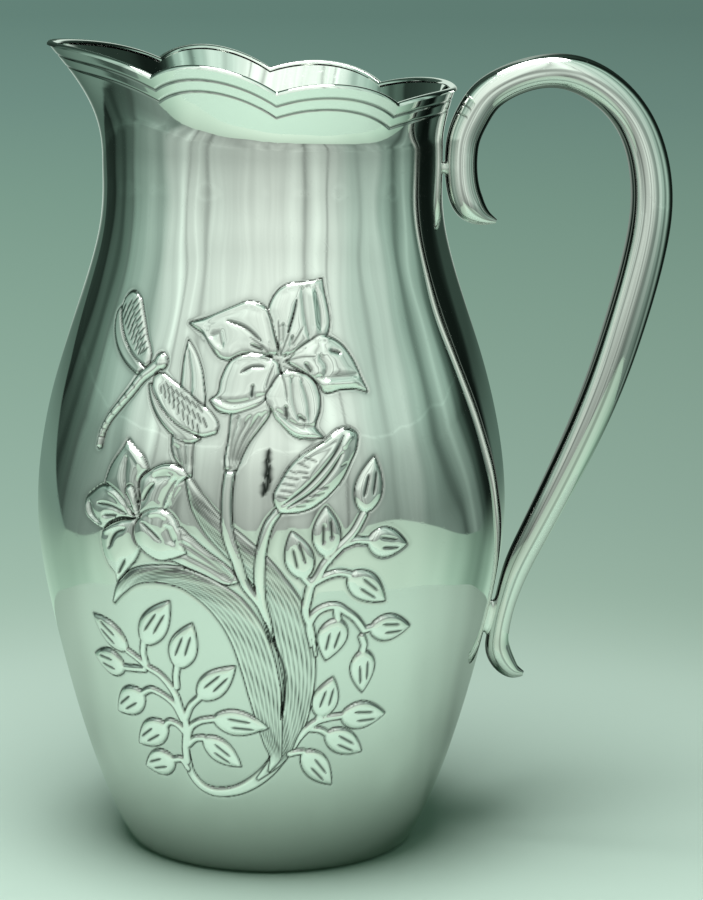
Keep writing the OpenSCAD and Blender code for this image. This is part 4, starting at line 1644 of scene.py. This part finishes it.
    def _flare(self, turn: Array, edge: Array) -> tuple[Array, Array]:
        """Rows of the flare with the two chased lines.

        Args:
            turn: Turn of each column.
            edge: Height of the sheet's edge.

        Returns:
            Radius and height of each point, and its patina with painted shade below the bend.
        """
        lined = graded(self.lined_run, self.lined_row, self.lined_row)
        unlined = self.lined_run + graded(self.unlined_run, *self.unlined_rows)[1:]
        below = np.concatenate([lined, unlined])[::-1]
        deep = edge - self.wall.flare_z - below[0]
        low = np.linspace(0.0, 1.0, self.flare_rows)[1:-1, None]
        height = np.concatenate([self.wall.flare_z + deep * low, edge - below[:, None]])
        fall = edge - height
        groove = sum(bell(fall - place, self.line_half) for place in self.lip_lines)
        wave = self.waves(turn[None, :], height) * ease(fall, *self.lip_calm)
        out = self.lip.opened(turn, height, self.wall) - self.line_depth * groove + wave
        full, bend, _ = self.lip.bend(turn, self.wall)
        # Painted shade below the bend, as on the neck below it.
        below_bend = 1.0 - ease(height - self.wall.flare_z - bend * full, *self.bend_soft)
        patina_and_shade = np.maximum(self.line_dark * groove, self.painted_shade(height) * below_bend)
        return np.stack([out, height], axis=-1), patina_and_shade

    def _inside(self, turn: Array, edge: Array) -> Array:
        """Rows of the inside, from the lip down to the foot.

        Args:
            turn: Turn of each column.
            edge: Height of the sheet's edge.

        Returns:
            Radius and height of each point.
        """
        shares = np.linspace(1.0, 0.0, self.inner_lip_rows)[:, None]
        height = self.wall.flare_z + (edge - self.wall.flare_z) * shares
        top = np.stack([self.lip.opened(turn, height, self.wall), height], axis=-1)
        height = np.linspace(self.wall.flare_z, self.wall.foot_z, self.inner_wall_rows)[1:]
        wall = np.stack([self.wall.radius(height), height], axis=-1)
        rest = np.concatenate([wall, self.wall.foot_arc(self.inner_foot_rows)[::-1]])
        rest = np.broadcast_to(rest[:, None, :], (len(rest), len(turn), 2))
        return np.concatenate([top, rest]) - (self.wall.thick, 0.0)


@dataclass(frozen=True)
class LipWire:
    """Half-round wire along the edge of the lip."""

    body: Body
    sides: int = 12
    crease: float = 60.0

    def build(self, finish: SilverFinish) -> None:
        """Builds the wire and dresses it.

        Args:
            finish: Its finish.
        """
        turn = self.body.columns()
        lip, wall = self.body.lip, self.body.wall
        edge = lip.edge(turn, wall)
        bend = np.radians(np.linspace(0.0, 180.0, self.sides + 1))[:, None]
        out = lip.opened(turn, edge, wall) - wall.thick / 2.0 + lip.wire_r * np.cos(bend)
        points = turned_points(turn, out, edge + lip.wire_r * np.sin(bend))
        piece = Piece("lip_bead", points, grid_faces(len(bend), len(turn), True, True))
        piece.creased(self.crease).dressed(finish, "silver_wire", "lip_wire")


class Side(Enum):
    """The two struck halves of the handle, by the way that they face."""

    NEAR = -1.0
    FAR = 1.0


@dataclass(frozen=True)
class Handle:
    """Hollow handle of two struck halves, soldered to the neck and the belly."""

    wall: Wall = Wall()
    reach: float = 54.5
    thick_r: float = 6.1
    sheet: float = 0.9
    vent: float = 0.2
    stud_rise: float = 5.5
    stud_gap: float = 0.8
    stud_r: float = 2.0
    stud_waist: float = 0.86
    stud_swell: float = 0.42
    stud_rings: int = 9
    stud_columns: int = 40
    pad_gap: float = 1.4
    pad_l: float = 10.5
    pad_w: float = 4.4
    pad_power: float = 0.55
    pad_swell: float = 0.16
    pad_draw: float = 0.1
    pad_rings: int = 8
    pad_columns: int = 48
    hook_share: float = 0.77
    foot_share: float = 0.53
    pad_place_share: float = 0.3
    pad_ring: int = 4
    steps: int = 10
    sides: int = 26
    half_crease: float = 45.0
    solder_crease: float = 50.0
    shares: Sequence[Triple] = (
        (0.173, 0.885, 0.10), (0.116, 0.893, 0.38), (0.056, 0.911, 0.68), (0.020, 0.936, 0.77),
        (0.002, 0.976, 0.77), (-0.002, 1.020, 0.77), (0.011, 1.066, 0.79), (0.058, 1.113, 0.82),
        (0.151, 1.162, 0.80), (0.402, 1.205, 0.78), (0.652, 1.193, 0.87), (0.898, 1.107, 0.90),
        (1.006, 0.970, 0.98), (0.961, 0.839, 1.00), (0.767, 0.654, 0.98), (0.477, 0.443, 0.89),
        (0.116, 0.189, 0.71), (0.037, 0.112, 0.64), (0.006, 0.047, 0.54), (0.000, 0.000, 0.53),
        (0.008, -0.041, 0.55), (0.030, -0.073, 0.61), (0.087, -0.105, 0.54), (0.147, -0.123, 0.36),
        (0.199, -0.129, 0.13),
    )

    @property
    def upper_joint(self) -> Array:
        """Middle of the handle beside the neck, as X and Z."""
        out = self.wall.neck_r + self.stud_gap + self.thick_r * self.hook_share
        return np.array([out, self.wall.neck_z + self.stud_rise])

    @property
    def pad_point(self) -> Array:
        """Middle of the solder pad on the wall.

        Returns:
            X and Z.
        """
        low, high = self.wall.rings()[self.pad_ring:self.pad_ring + 2, 1]
        height = low + (high - low) * self.pad_place_share
        return np.array([float(self.wall.radius(np.array([height]))[0]), height])

    @property
    def pad_along(self) -> Array:
        """Way up the wall at the pad."""
        slope = float(self.wall.slope(self.pad_point[1:])[0])
        return np.array([slope, 1.0]) / math.hypot(slope, 1.0)

    @property
    def pad_out(self) -> Array:
        """Way off the wall at the pad."""
        return -left_of(self.pad_along)

    @property
    def lower_joint(self) -> Array:
        """Middle of the handle beside the belly, as X and Z."""
        return self.pad_point + self.pad_out * (self.pad_gap + self.thick_r * self.foot_share)

    def joint_line(self, share: float) -> Array:
        """Line between the joints, which leaves the belly along its wall and meets the neck upright.

        Args:
            share: Place along it, 0 at the belly and 1 at the neck.

        Returns:
            X and Z.
        """
        low, high = self.lower_joint, self.upper_joint
        run = float(np.linalg.norm(high - low))
        along, upright = self.pad_along * run, np.array([0.0, run])
        if share < 0.0:
            return low + along * share
        if share > 1.0:
            return high + upright * (share - 1.0)
        return hermite(share, low, high, along, upright)

    def middle_line(self) -> Array:
        """Middle of the handle, from the upper tip to the lower one.

        Returns:
            X, Z and radius at close places.
        """
        knots = []
        for swing, along, radius in self.shares:
            x, z = self.joint_line(along)
            knots.append((x + self.reach * swing, z, self.thick_r * radius))
        knots = np.array(knots)
        runs = np.linalg.norm(np.diff(knots[:, :2], axis=0), axis=1)
        place = np.concatenate([[0.0], np.cumsum(np.sqrt(runs))])
        at = np.interp(np.arange(len(runs) * self.steps + 1) / self.steps, np.arange(len(place)), place)
        slopes = (np.diff(knots, axis=0) / np.diff(place)[:, None])[[0, -1]]
        return np.stack([even_cubic(place, k, at, ends) for k, ends in zip(knots.T, slopes.T)], axis=1)

    def build(self, finish: SilverFinish, solder: SilverFinish) -> None:
        """Builds both halves and the two solder joints, and dresses them.

        Args:
            finish: Finish of the halves.
            solder: Finish of the joints.
        """
        line = self.middle_line()
        self._half(line, Side.NEAR, "handle_near").dressed(finish, "silver_handle", "handle_near_half")
        self._half(line, Side.FAR, "handle_far").dressed(finish, "silver_handle", "handle_far_half")
        self._stud().dressed(solder, "silver_solder", "upper_stud")
        self._pad().dressed(solder, "silver_solder", "lower_pad")

    def _half(self, line: Array, side: Side, name: str) -> Piece:
        """One struck half, hollow, open along its seam.

        Args:
            line: The handle's middle line.
            side: Which half.
            name: The piece's name.

        Returns:
            The piece.
        """
        x, z, radius = (column[:, None] for column in line.T)
        way = np.gradient(line[:, :2], axis=0)
        way /= np.linalg.norm(way, axis=1)[:, None]
        hollow = np.maximum(np.minimum(self.vent, radius / 2.0), radius - self.sheet)
        turns = np.radians(np.linspace(0.0, 180.0, self.sides + 1))
        backs = np.radians(np.linspace(180.0, 0.0, self.sides // 2 + 1))
        skins = []
        for skin_r, angles in ((radius, turns), (hollow, backs)):
            out = skin_r * np.cos(angles)
            y = side.value * skin_r * np.sin(angles)
            skins.append(np.stack([x + way[:, 1:] * out, y, z - way[:, :1] * out], axis=-1))
        loops = np.concatenate(skins, axis=1)
        stations, columns = loops.shape[:2]
        faces = capped_faces(stations, columns)
        if side is Side.FAR:
            faces = [face[::-1] for face in faces]
        # Turn round the tube, which places the finish's painted reflection lines.
        around = np.broadcast_to(np.concatenate([turns, backs]) / math.pi, (stations, columns))
        return Piece(name, loops.reshape(-1, 3), faces).creased(self.half_crease).tinted(AROUND, around)

    def _stud(self) -> Piece:
        """Solder stud between neck and hook, waisted, with a saddle at each end.

        Returns:
            The piece.
        """
        around = np.radians(np.arange(self.stud_columns) * 360.0 / self.stud_columns)
        hook_r, joint = self.thick_r * self.hook_share, self.upper_joint
        share = np.linspace(0.0, 1.0, self.stud_rings)[:, None]
        radius = self.stud_r * (self.stud_waist + self.stud_swell * (2.0 * share - 1.0) ** 2)
        y, z = radius * np.cos(around), joint[1] + radius * np.sin(around)
        start = np.sqrt(self.wall.neck_r ** 2 - y * y)
        end = joint[0] - np.sqrt(hook_r ** 2 - y * y)
        points = np.stack([start + (end - start) * share, y, z], axis=-1).reshape(-1, 3)
        faces = capped_faces(self.stud_rings, self.stud_columns)
        return Piece("neck_solder", points, faces).creased(self.solder_crease)

    def _pad(self) -> Piece:
        """Solder pad between belly and foot of the handle, rounded, with a saddle for the handle.

        Returns:
            The piece.
        """
        around = np.radians(np.arange(self.pad_columns) * 360.0 / self.pad_columns)
        along, out, foot_r = self.pad_along, self.pad_out, self.thick_r * self.foot_share
        across, length = (np.sign(c) * np.abs(c) ** self.pad_power for c in (np.cos(around), np.sin(around)))
        share = np.linspace(0.0, 1.0, self.pad_rings)[:, None]
        swell = 1.0 + self.pad_swell * (2.0 * share - 1.0) ** 2 - self.pad_draw * share
        y = across * self.pad_w / 2.0 * swell
        place = length * self.pad_l / 2.0 * swell
        x, z = (start + way * place for start, way in zip(self.pad_point, along))
        start = (np.sqrt(self.wall.radius(z) ** 2 - y * y) - x) * out[0]
        end = self.pad_gap + foot_r - np.sqrt(foot_r ** 2 - y * y)
        rise = start + (end - start) * share
        points = np.stack([x + out[0] * rise, y, z + out[1] * rise], axis=-1).reshape(-1, 3)
        faces = capped_faces(self.pad_rings, self.pad_columns)
        return Piece("belly_solder", points, faces).creased(self.solder_crease)


@dataclass(frozen=True)
class Bottom:
    """Pressed bottom, set in the foot of the shell."""

    wall: Wall = Wall()
    rim_h: float = 4.0
    sheet: float = 1.0
    solder: float = 0.08
    edge_round: float = 0.35
    round_middle: float = 0.3
    middle_r: float = 0.4
    fillet: Places = ((1.2, 0.0), (0.35, 0.12), (0.0, 0.6))
    columns: int = 144
    crease: float = 40.0

    def build(self, finish: SilverFinish) -> None:
        """Turns the bottom and dresses it.

        Args:
            finish: Its finish.
        """
        seat = self.wall.base_r - self.wall.round_run - self.wall.thick - self.solder
        inner, top, under = seat - self.sheet, self.rim_h, self.rim_h - self.sheet
        soft, mid = self.edge_round, self.edge_round * self.round_middle
        outline = [(self.middle_r, under), (inner * 0.5, under)]
        outline += [(inner - back, under - down) for back, down in self.fillet]
        outline += [(inner, soft), (inner + mid, mid), (inner + soft, 0.0)]
        outline += [(seat - soft, 0.0), (seat - mid, mid), (seat, soft)]
        outline += [(seat, top - soft), (seat - mid, top - mid), (seat - soft, top)]
        outline = np.array(outline + [(inner * 0.5, top), (self.middle_r, top)])
        turn = 180.0 + np.arange(self.columns) * 360.0 / self.columns
        points = turned_points(turn, outline[:, :1], outline[:, 1:])
        faces = [face[::-1] for face in capped_faces(len(outline), self.columns)]
        piece = Piece("set_in_bottom", points, faces).creased(self.crease)
        piece.dressed(finish, "silver_bottom", "bottom_disc")


# Stage


RED_SHARES = (0.56, 0.2, 0.17)
BLUE_SHARES = (0.76, 0.15)


def silvery(level: float) -> Triple:
    """Tone of the room at a level, greener where it is darker."""
    red, blue = (sum(c * level ** i for i, c in enumerate(row)) for row in (RED_SHARES, BLUE_SHARES))
    return (level * red, level, level * blue)


def round_stops(levels: Places) -> Stops:
    """Stops of a ramp over a whole turn, from turns between -180 and 180 and their levels."""
    return [(turn / 360.0 + 0.5, silvery(level)) for turn, level in levels]


def stage_object(name: str, points: Array, faces: list[list[int]], paint: bpy.types.Material) -> Any:
    """Puts one thing on the stage.

    Args:
        name: Its name.
        points: Places in millimetres.
        faces: Point numbers of each face.
        paint: Its material.

    Returns:
        The object.
    """
    mesh = bpy.data.meshes.new(name)
    mesh.from_pydata((points.reshape(-1, 3) * MM).tolist(), [], faces)
    mesh.materials.append(paint)
    made = bpy.data.objects.new(name, mesh)
    bpy.context.scene.collection.objects.link(made)
    return made


@dataclass(frozen=True)
class Fold:
    """Upright fold of the tent: its turn from the front, its half width and how much brighter it is."""

    turn: float
    half: float
    gain: float


@dataclass(frozen=True)
class End:
    """Slanting end of the lit cloth: height and turn of two places on it, way, softness, levels beyond."""

    low: Pair
    high: Pair
    way: float
    soft: float
    levels: Pair


@dataclass(frozen=True)
class Tent:
    """Glowing cloth all round, no lamp, which only the polish sees: painted reflections of a room, pale in
    front, dark at both flanks, above a glowing white card.
    """

    radius: float = 250.0
    top: float = 1100.0
    columns: int = 121
    round_levels: Places = (
        (-180.0, 0.10), (-128.0, 0.035), (-124.0, 0.03), (-120.0, 0.10), (-116.0, 0.11), (-110.0, 0.075),
        (-104.0, 0.17), (-96.0, 0.34), (-88.0, 0.44), (-80.0, 0.54), (-73.0, 0.53), (-64.0, 0.76),
        (-50.0, 0.84), (0.0, 0.90), (30.0, 0.86), (50.0, 0.66), (64.0, 0.68), (71.0, 0.52), (80.0, 0.36),
        (88.0, 0.50), (93.0, 0.40), (98.0, 0.13), (103.0, 0.03), (110.0, 0.010), (118.0, 0.010),
        (128.0, 0.03), (180.0, 0.10),
    )
    height_levels: Places = (
        (86.0, 0.46), (123.0, 0.58), (149.0, 0.70), (175.0, 0.95), (200.0, 1.0), (230.0, 0.92),
        (270.0, 1.0), (330.0, 1.14), (480.0, 1.25), (1100.0, 1.2),
    )
    drift: float = 5.0
    drift_run: Pair = (0.03, 9.0)
    lean_z: Pair = (150.0, 145.0)
    leans: Sequence[Triple] = ((-72.0, -98.0, 140.0), (68.0, 94.0, -170.0))
    folds: tuple[Fold, ...] = (
        Fold(-99.0, 2.0, -0.35), Fold(-73.0, 4.0, -0.18), Fold(-57.0, 1.5, 0.34), Fold(-53.5, 1.0, -0.34),
        Fold(-47.0, 1.0, 0.14), Fold(-41.0, 1.8, -0.36), Fold(-24.0, 3.0, -0.07), Fold(11.0, 3.6, 0.14),
        Fold(17.5, 1.8, -0.40), Fold(25.0, 3.4, 0.20), Fold(31.0, 0.8, -0.40), Fold(52.0, 2.4, -0.24),
        Fold(80.0, 2.4, -0.40), Fold(88.0, 1.4, 0.16),
    )
    crease_gain: float = 0.42
    crease_run: Triple = (0.09, 1.5, 3.0)
    seam_z: float = 171.0
    seam_half: float = 1.2
    seam_gain: float = 0.16
    seam_sag: float = 20.0
    sag_run: Triple = (0.06, 0.0, 7.0)
    ends: tuple[End, ...] = (
        End((100.0, -113.0), (150.0, -132.0), -1.0, 1.2, (0.25, 0.14)),
        End((100.0, 117.0), (150.0, 123.0), 1.0, 3.0, (0.15, 0.06)),
    )
    beyond_z: Pair = (85.0, 160.0)
    back_level: float = 0.8
    back_turns: Pair = (148.0, 164.0)
    card_h: float = 86.0
    card_levels: Places = (
        (-180.0, 0.56), (-150.0, 0.44), (-136.0, 0.38), (-122.0, 0.34), (-110.0, 0.34), (-97.0, 0.38),
        (-85.0, 0.48), (-62.0, 0.62), (0.0, 0.69), (30.0, 0.66), (62.0, 0.57), (77.0, 0.49), (91.0, 0.37),
        (106.0, 0.22), (114.0, 0.18), (122.0, 0.26), (132.0, 0.42), (150.0, 0.46), (180.0, 0.56),
    )
    card_foot: float = 1.36
    card_fall: float = 0.35
    card_blue: float = 0.94
    flank_turns: Pair = (55.0, 95.0)
    flank_foot: float = 0.26
    flank_fall: float = 0.56
    card_drop: float = 36.0
    drop_turns: Pair = (50.0, 100.0)
    card_soft: Pair = (1.0, 30.0)
    soft_turns: Pair = (106.0, 118.0)

    def build(self) -> None:
        """Builds the cloth, for mirrored rays alone."""
        turns = np.radians(np.linspace(-180.0, 180.0, self.columns))[None, :]
        heights = np.array([0.0, self.card_h, self.top])[:, None]
        places = np.broadcast_arrays(self.radius * np.sin(turns), -self.radius * np.cos(turns), heights)
        faces = grid_faces(len(heights), self.columns, False, False).tolist()
        tent = stage_object("tent", np.stack(places, axis=-1), faces, self._cloth())
        tent.visible_camera = tent.visible_diffuse = tent.visible_shadow = False

    def _cloth(self) -> bpy.types.Material:
        """Glowing cloth, painted light seen only in reflections: levels round and up the tent, upright folds
        and one seam, above the card.

        Returns:
            The material.
        """
        made, sh = empty_material("tent_glow", glows=True)
        x, y, z = sh.apart(sh.make("ShaderNodeTexCoord", out="Object"))
        turn = x.arctan2(0 - y) * math.degrees(1.0)
        run, climb = self.drift_run
        drift = sh.noise(sh.vector(turn * run, z * climb, 0.0), 1.0, 2.0)
        plain = turn + (drift - 0.5) * self.drift
        start, full = (h * MM for h in self.lean_z)
        below = (start - z) * sh.band(z, start, full)
        turn = plain
        for first, last, lean in self.leans:
            turn = turn + below * sh.band(plain, first, last) * lean
        tone = sh.ramp(turn / 360.0 + 0.5, round_stops(self.round_levels))
        height_stops = [(h / self.top, (level,) * 3) for h, level in self.height_levels]
        tone = sh.times(tone, sh.ramp(z / (self.top * MM), height_stops, "LINEAR"))
        tone = sh.times(tone, sh.colour(self._creases(sh, turn, z)))
        for end in self.ends:
            low, high = (silvery(level) for level in end.levels)
            beyond = sh.mix(sh.band(z, *(h * MM for h in self.beyond_z)), low, high)
            beyond = sh.mix(sh.band(abs(turn), *self.back_turns), beyond, silvery(self.back_level))
            slant = (end.high[1] - end.low[1]) / (end.high[0] - end.low[0])
            past = (turn - (z / MM - end.low[0]) * slant - end.low[1]) * end.way
            tone = sh.mix(sh.band(past, -end.soft, end.soft), tone, beyond)
        over = z - self.card_h * MM + sh.band(abs(plain), *self.drop_turns) * (self.card_drop * MM)
        near, far = (soft * MM for soft in self.card_soft)
        over = over / (sh.band(abs(plain), *self.soft_turns) * far + near)
        tone = sh.mix(sh.band(over, 1.0, -1.0), tone, self._card(sh, plain, z))
        light = sh.make("ShaderNodeEmission", {}, {"Color": tone})
        sh.make("ShaderNodeOutputMaterial", {}, {"Surface": light})
        return made

    def _creases(self, sh: Shader, turn: Socket, z: Socket) -> Socket:
        """How much brighter the painted folds, fine creases and seam make the cloth's glow.

        Args:
            sh: The cloth's tree.
            turn: Turn on the cloth.
            z: Height in scene metres.

        Returns:
            A factor about 1.
        """
        gain = 1.0
        for fold in self.folds:
            gain = gain + ((turn - fold.turn) / fold.half).bell() * fold.gain
        run, climb, place = self.crease_run
        gain = gain + (sh.noise(sh.vector(turn * run, z * climb, place), 3.0, 3.0) - 0.5) * self.crease_gain
        run, climb, place = self.sag_run
        sag = (sh.noise(sh.vector(turn * run, climb, place), 1.0, 1.0) - 0.5) * (self.seam_sag * MM)
        return gain + ((z - self.seam_z * MM - sag) / (self.seam_half * MM)).bell() * self.seam_gain

    def _card(self, sh: Shader, turn: Socket, z: Socket) -> Socket:
        """Glow of the card, painted brighter towards its foot.

        Args:
            sh: The cloth's tree.
            turn: Turn from the front.
            z: Height in scene metres.

        Returns:
            The tone.
        """
        card = sh.ramp(turn / 360.0 + 0.5, round_stops(self.card_levels))
        share, flank = z / (self.card_h * MM), sh.band(abs(turn), *self.flank_turns)
        rise = self.card_foot - share * self.card_fall + flank * (self.flank_foot - share * self.flank_fall)
        return sh.times(card, sh.colour(rise, rise, rise * self.card_blue))


@dataclass(frozen=True)
class Stage:
    """Pale table, soft light, tent and camera."""

    floor_r: float = 9000.0
    floor_starts: Pair = (1.0, 20.0)
    floor_rings: int = 60
    floor_columns: int = 96
    lamp_place: Triple = (-70.0, -150.0, 900.0)
    lamp_size: float = 640.0
    lamp_watts: float = 8.2
    fill_level: float = 0.08
    lit_front: float = 200.0
    lit_run: Pair = (0.28, 0.55)
    table_tone: Triple = (0.625, 0.80, 0.695)
    mirrored_tint: Triple = (1.09, 1.13, 1.08)
    mirrored_run: Pair = (0.06, 0.11)
    mirrored_shade_levels: Places = (
        (-180.0, 0.70), (-115.0, 0.72), (-92.0, 0.84), (-60.0, 0.95), (0.0, 0.97), (60.0, 0.95), (80.0, 0.86),
        (100.0, 0.74), (118.0, 0.58), (150.0, 0.55), (180.0, 0.70),
    )
    backdrop: Stops = (
        (0.14, (0.43, 0.58, 0.485)), (0.29, (0.347, 0.497, 0.402)), (0.48, (0.292, 0.434, 0.352)),
        (1.1, (0.227, 0.361, 0.287)), (1.8, (0.188, 0.314, 0.25)), (3.0, (0.15, 0.258, 0.216)),
        (5.5, (0.119, 0.212, 0.178)),
    )
    backdrop_shade_drift: float = 0.6
    drift_start: float = 0.86
    behind_levels: Places = ((-90.0, 0.2), (8.0, 0.2), (28.0, 0.09), (48.0, 0.03), (90.0, 0.03))
    camera_place: Triple = (-14.3, -844.8, 277.1)
    camera_target: Triple = (23.2, 0.0, 115.0)
    camera_roll: float = 0.47
    camera_lens: float = 118.0
    camera_sensor: float = 36.0
    camera_reach: Pair = (0.05, 60.0)

    def build(self) -> None:
        """Builds floor, room, lamp, tent and camera."""
        self._floor()
        self._room()
        self._lamp()
        Tent().build()
        self._camera()

    def _floor(self) -> None:
        """Round floor whose tone falls off with the distance, as painted light falloff in its far glow."""
        middle, first = self.floor_starts
        rings = np.concatenate([[middle], np.geomspace(first, self.floor_r, self.floor_rings)])[:, None]
        around = np.radians(np.arange(self.floor_columns) * 360.0 / self.floor_columns)[None, :]
        places = np.broadcast_arrays(rings * np.cos(around), rings * np.sin(around), 0.0)
        faces = grid_faces(len(rings), self.floor_columns, False, True).tolist()
        faces.append(list(range(self.floor_columns)))
        stage_object("floor", np.stack(places, axis=-1), faces, self._floor_paint())

    def _floor_paint(self) -> bpy.types.Material:
        """Matt pale paint lit close to the pitcher; far behind, the backdrop's tone as a glow with painted
        light falloff, and in mirrored rays a painted shade by the turn round the pitcher.

        Returns:
            The material.
        """
        made, sh = empty_material("pale_table", glows=True)
        x, y, _ = sh.apart(sh.make("ShaderNodeTexCoord", out="Object"))
        far = (x * x + y * y) ** 0.5
        # Painted light falloff: the far glow darkens with the distance.
        low, high = math.log10(self.backdrop[0][0]), math.log10(self.backdrop[-1][0])
        stops = [((math.log10(d) - low) / (high - low), tone) for d, tone in self.backdrop]
        backdrop = sh.ramp(((far + 0.001).logarithm(10.0) - low) / (high - low), stops, "LINEAR")
        # Painted shade: the far glow darkens towards +X.
        drift = 1.0 - x / (far + self.drift_start) * self.backdrop_shade_drift
        backdrop = sh.times(backdrop, sh.colour(drift))
        # Painted shade and tint of the floor as the silver mirrors it, by its turn round the pitcher.
        turn = x.arctan2(0 - y) / (2.0 * math.pi) + 0.5
        shares = sh.ramp(turn, [(t / 360.0 + 0.5, (level,) * 3) for t, level in self.mirrored_shade_levels])
        shares = sh.mix(sh.band(far, *self.mirrored_run), WHITE, shares)
        shares = sh.times(shares, self.mirrored_tint)
        gain = sh.mix(sh.make("ShaderNodeLightPath", out="Is Glossy Ray"), WHITE, shares)
        lit = sh.make("ShaderNodeBsdfDiffuse", {}, {"Color": sh.times(self.table_tone, gain)})
        glow = sh.make("ShaderNodeEmission", {}, {"Color": sh.times(backdrop, gain)})
        ahead = y + self.lit_front * MM
        away = (x * x + ahead * ahead) ** 0.5
        shade = sh.make("ShaderNodeMixShader", {}, {0: sh.band(away, *self.lit_run), 1: lit, 2: glow})
        sh.make("ShaderNodeOutputMaterial", {}, {"Surface": shade})
        return made

    def _room(self) -> None:
        """Dim room: the backdrop's tone low down, dark above, even fill for matt faces."""
        world = bpy.data.worlds.new("room")
        bpy.context.scene.world = world
        world.use_nodes = True
        sh = Shader(world.node_tree)
        climb = sh.apart(sh.make("ShaderNodeTexCoord", out="Generated"))[2].arcsine()
        stops = [(h / 180.0 + 0.5, silvery(level)) for h, level in self.behind_levels]
        tone = sh.ramp(climb / math.pi + 0.5, stops)
        tone = sh.mix(sh.make("ShaderNodeLightPath", out="Is Diffuse Ray"), tone, silvery(self.fill_level))
        tone = sh.mix(sh.make("ShaderNodeLightPath", out="Is Camera Ray"), tone, self.backdrop[-1][1])
        light = sh.make("ShaderNodeBackground", {}, {"Color": tone, "Strength": 1.0})
        sh.make("ShaderNodeOutputWorld", {}, {"Surface": light})

    def _lamp(self) -> None:
        """Large soft lamp overhead."""
        data = bpy.data.lights.new("overhead", "AREA")
        data.shape, data.size, data.energy = "DISK", self.lamp_size * MM, self.lamp_watts
        lamp = bpy.data.objects.new("overhead", data)
        lamp.location = Vector(self.lamp_place) * MM
        lamp.visible_camera = False
        bpy.context.scene.collection.objects.link(lamp)

    def _camera(self) -> None:
        """Camera at the angle of the picture."""
        data = bpy.data.cameras.new("camera")
        data.lens, data.sensor_width = self.camera_lens, self.camera_sensor
        data.clip_start, data.clip_end = self.camera_reach
        camera = bpy.data.objects.new("camera", data)
        place, target = Vector(self.camera_place), Vector(self.camera_target)
        ahead = (target - place).normalized()
        right = ahead.cross(Vector((0.0, 0.0, 1.0))).normalized()
        up = right.cross(ahead)
        cos, sin = (turn(math.radians(self.camera_roll)) for turn in (math.cos, math.sin))
        right, up = right * cos + up * sin, up * cos - right * sin
        turn = Matrix((right, up, -ahead)).transposed().to_4x4()
        camera.matrix_world = Matrix.Translation(place * MM) @ turn
        bpy.context.scene.collection.objects.link(camera)
        bpy.context.scene.camera = camera


def main() -> None:
    logging.basicConfig(level=logging.INFO, format="%(name)s: %(message)s")
    bpy.context.scene.view_settings.view_transform = "Standard"
    sheet = SilverFinish("polished_sheet")
    wire = SilverFinish("polished_wire", gloss=0.05)
    # Handle finish: real handling scratches, and painted reflection lines along its tube.
    grip = SilverFinish(
        "handled_silver_painted_reflections", tone=(0.88, 0.89, 0.87), gloss=0.04, scratch=0.09,
        painted_reflection_lines=(
            (0.0, 0.9), (0.15, 0.8), (0.20, 0.55), (0.235, 0.12), (0.33, 0.22), (0.35, 0.62), (0.37, 0.24),
            (0.50, 0.18), (0.53, 0.50), (0.55, 0.46), (0.58, 0.02), (0.84, 0.02), (0.90, 0.55), (0.94, 0.75),
            (1.0, 0.8),
        ),
    )
    solder = SilverFinish("filed_solder", tone=(0.84, 0.85, 0.83), gloss=0.16)
    turned = SilverFinish("turned_bottom", tone=(0.88, 0.89, 0.87), gloss=0.2, turned_rings=0.6)
    body = Body()
    body.build(sheet)
    LipWire(body).build(wire)
    Bottom(body.wall).build(turned)
    Handle(body.wall).build(grip, solder)
    Stage().build()


if __name__ == "__main__":
    main()
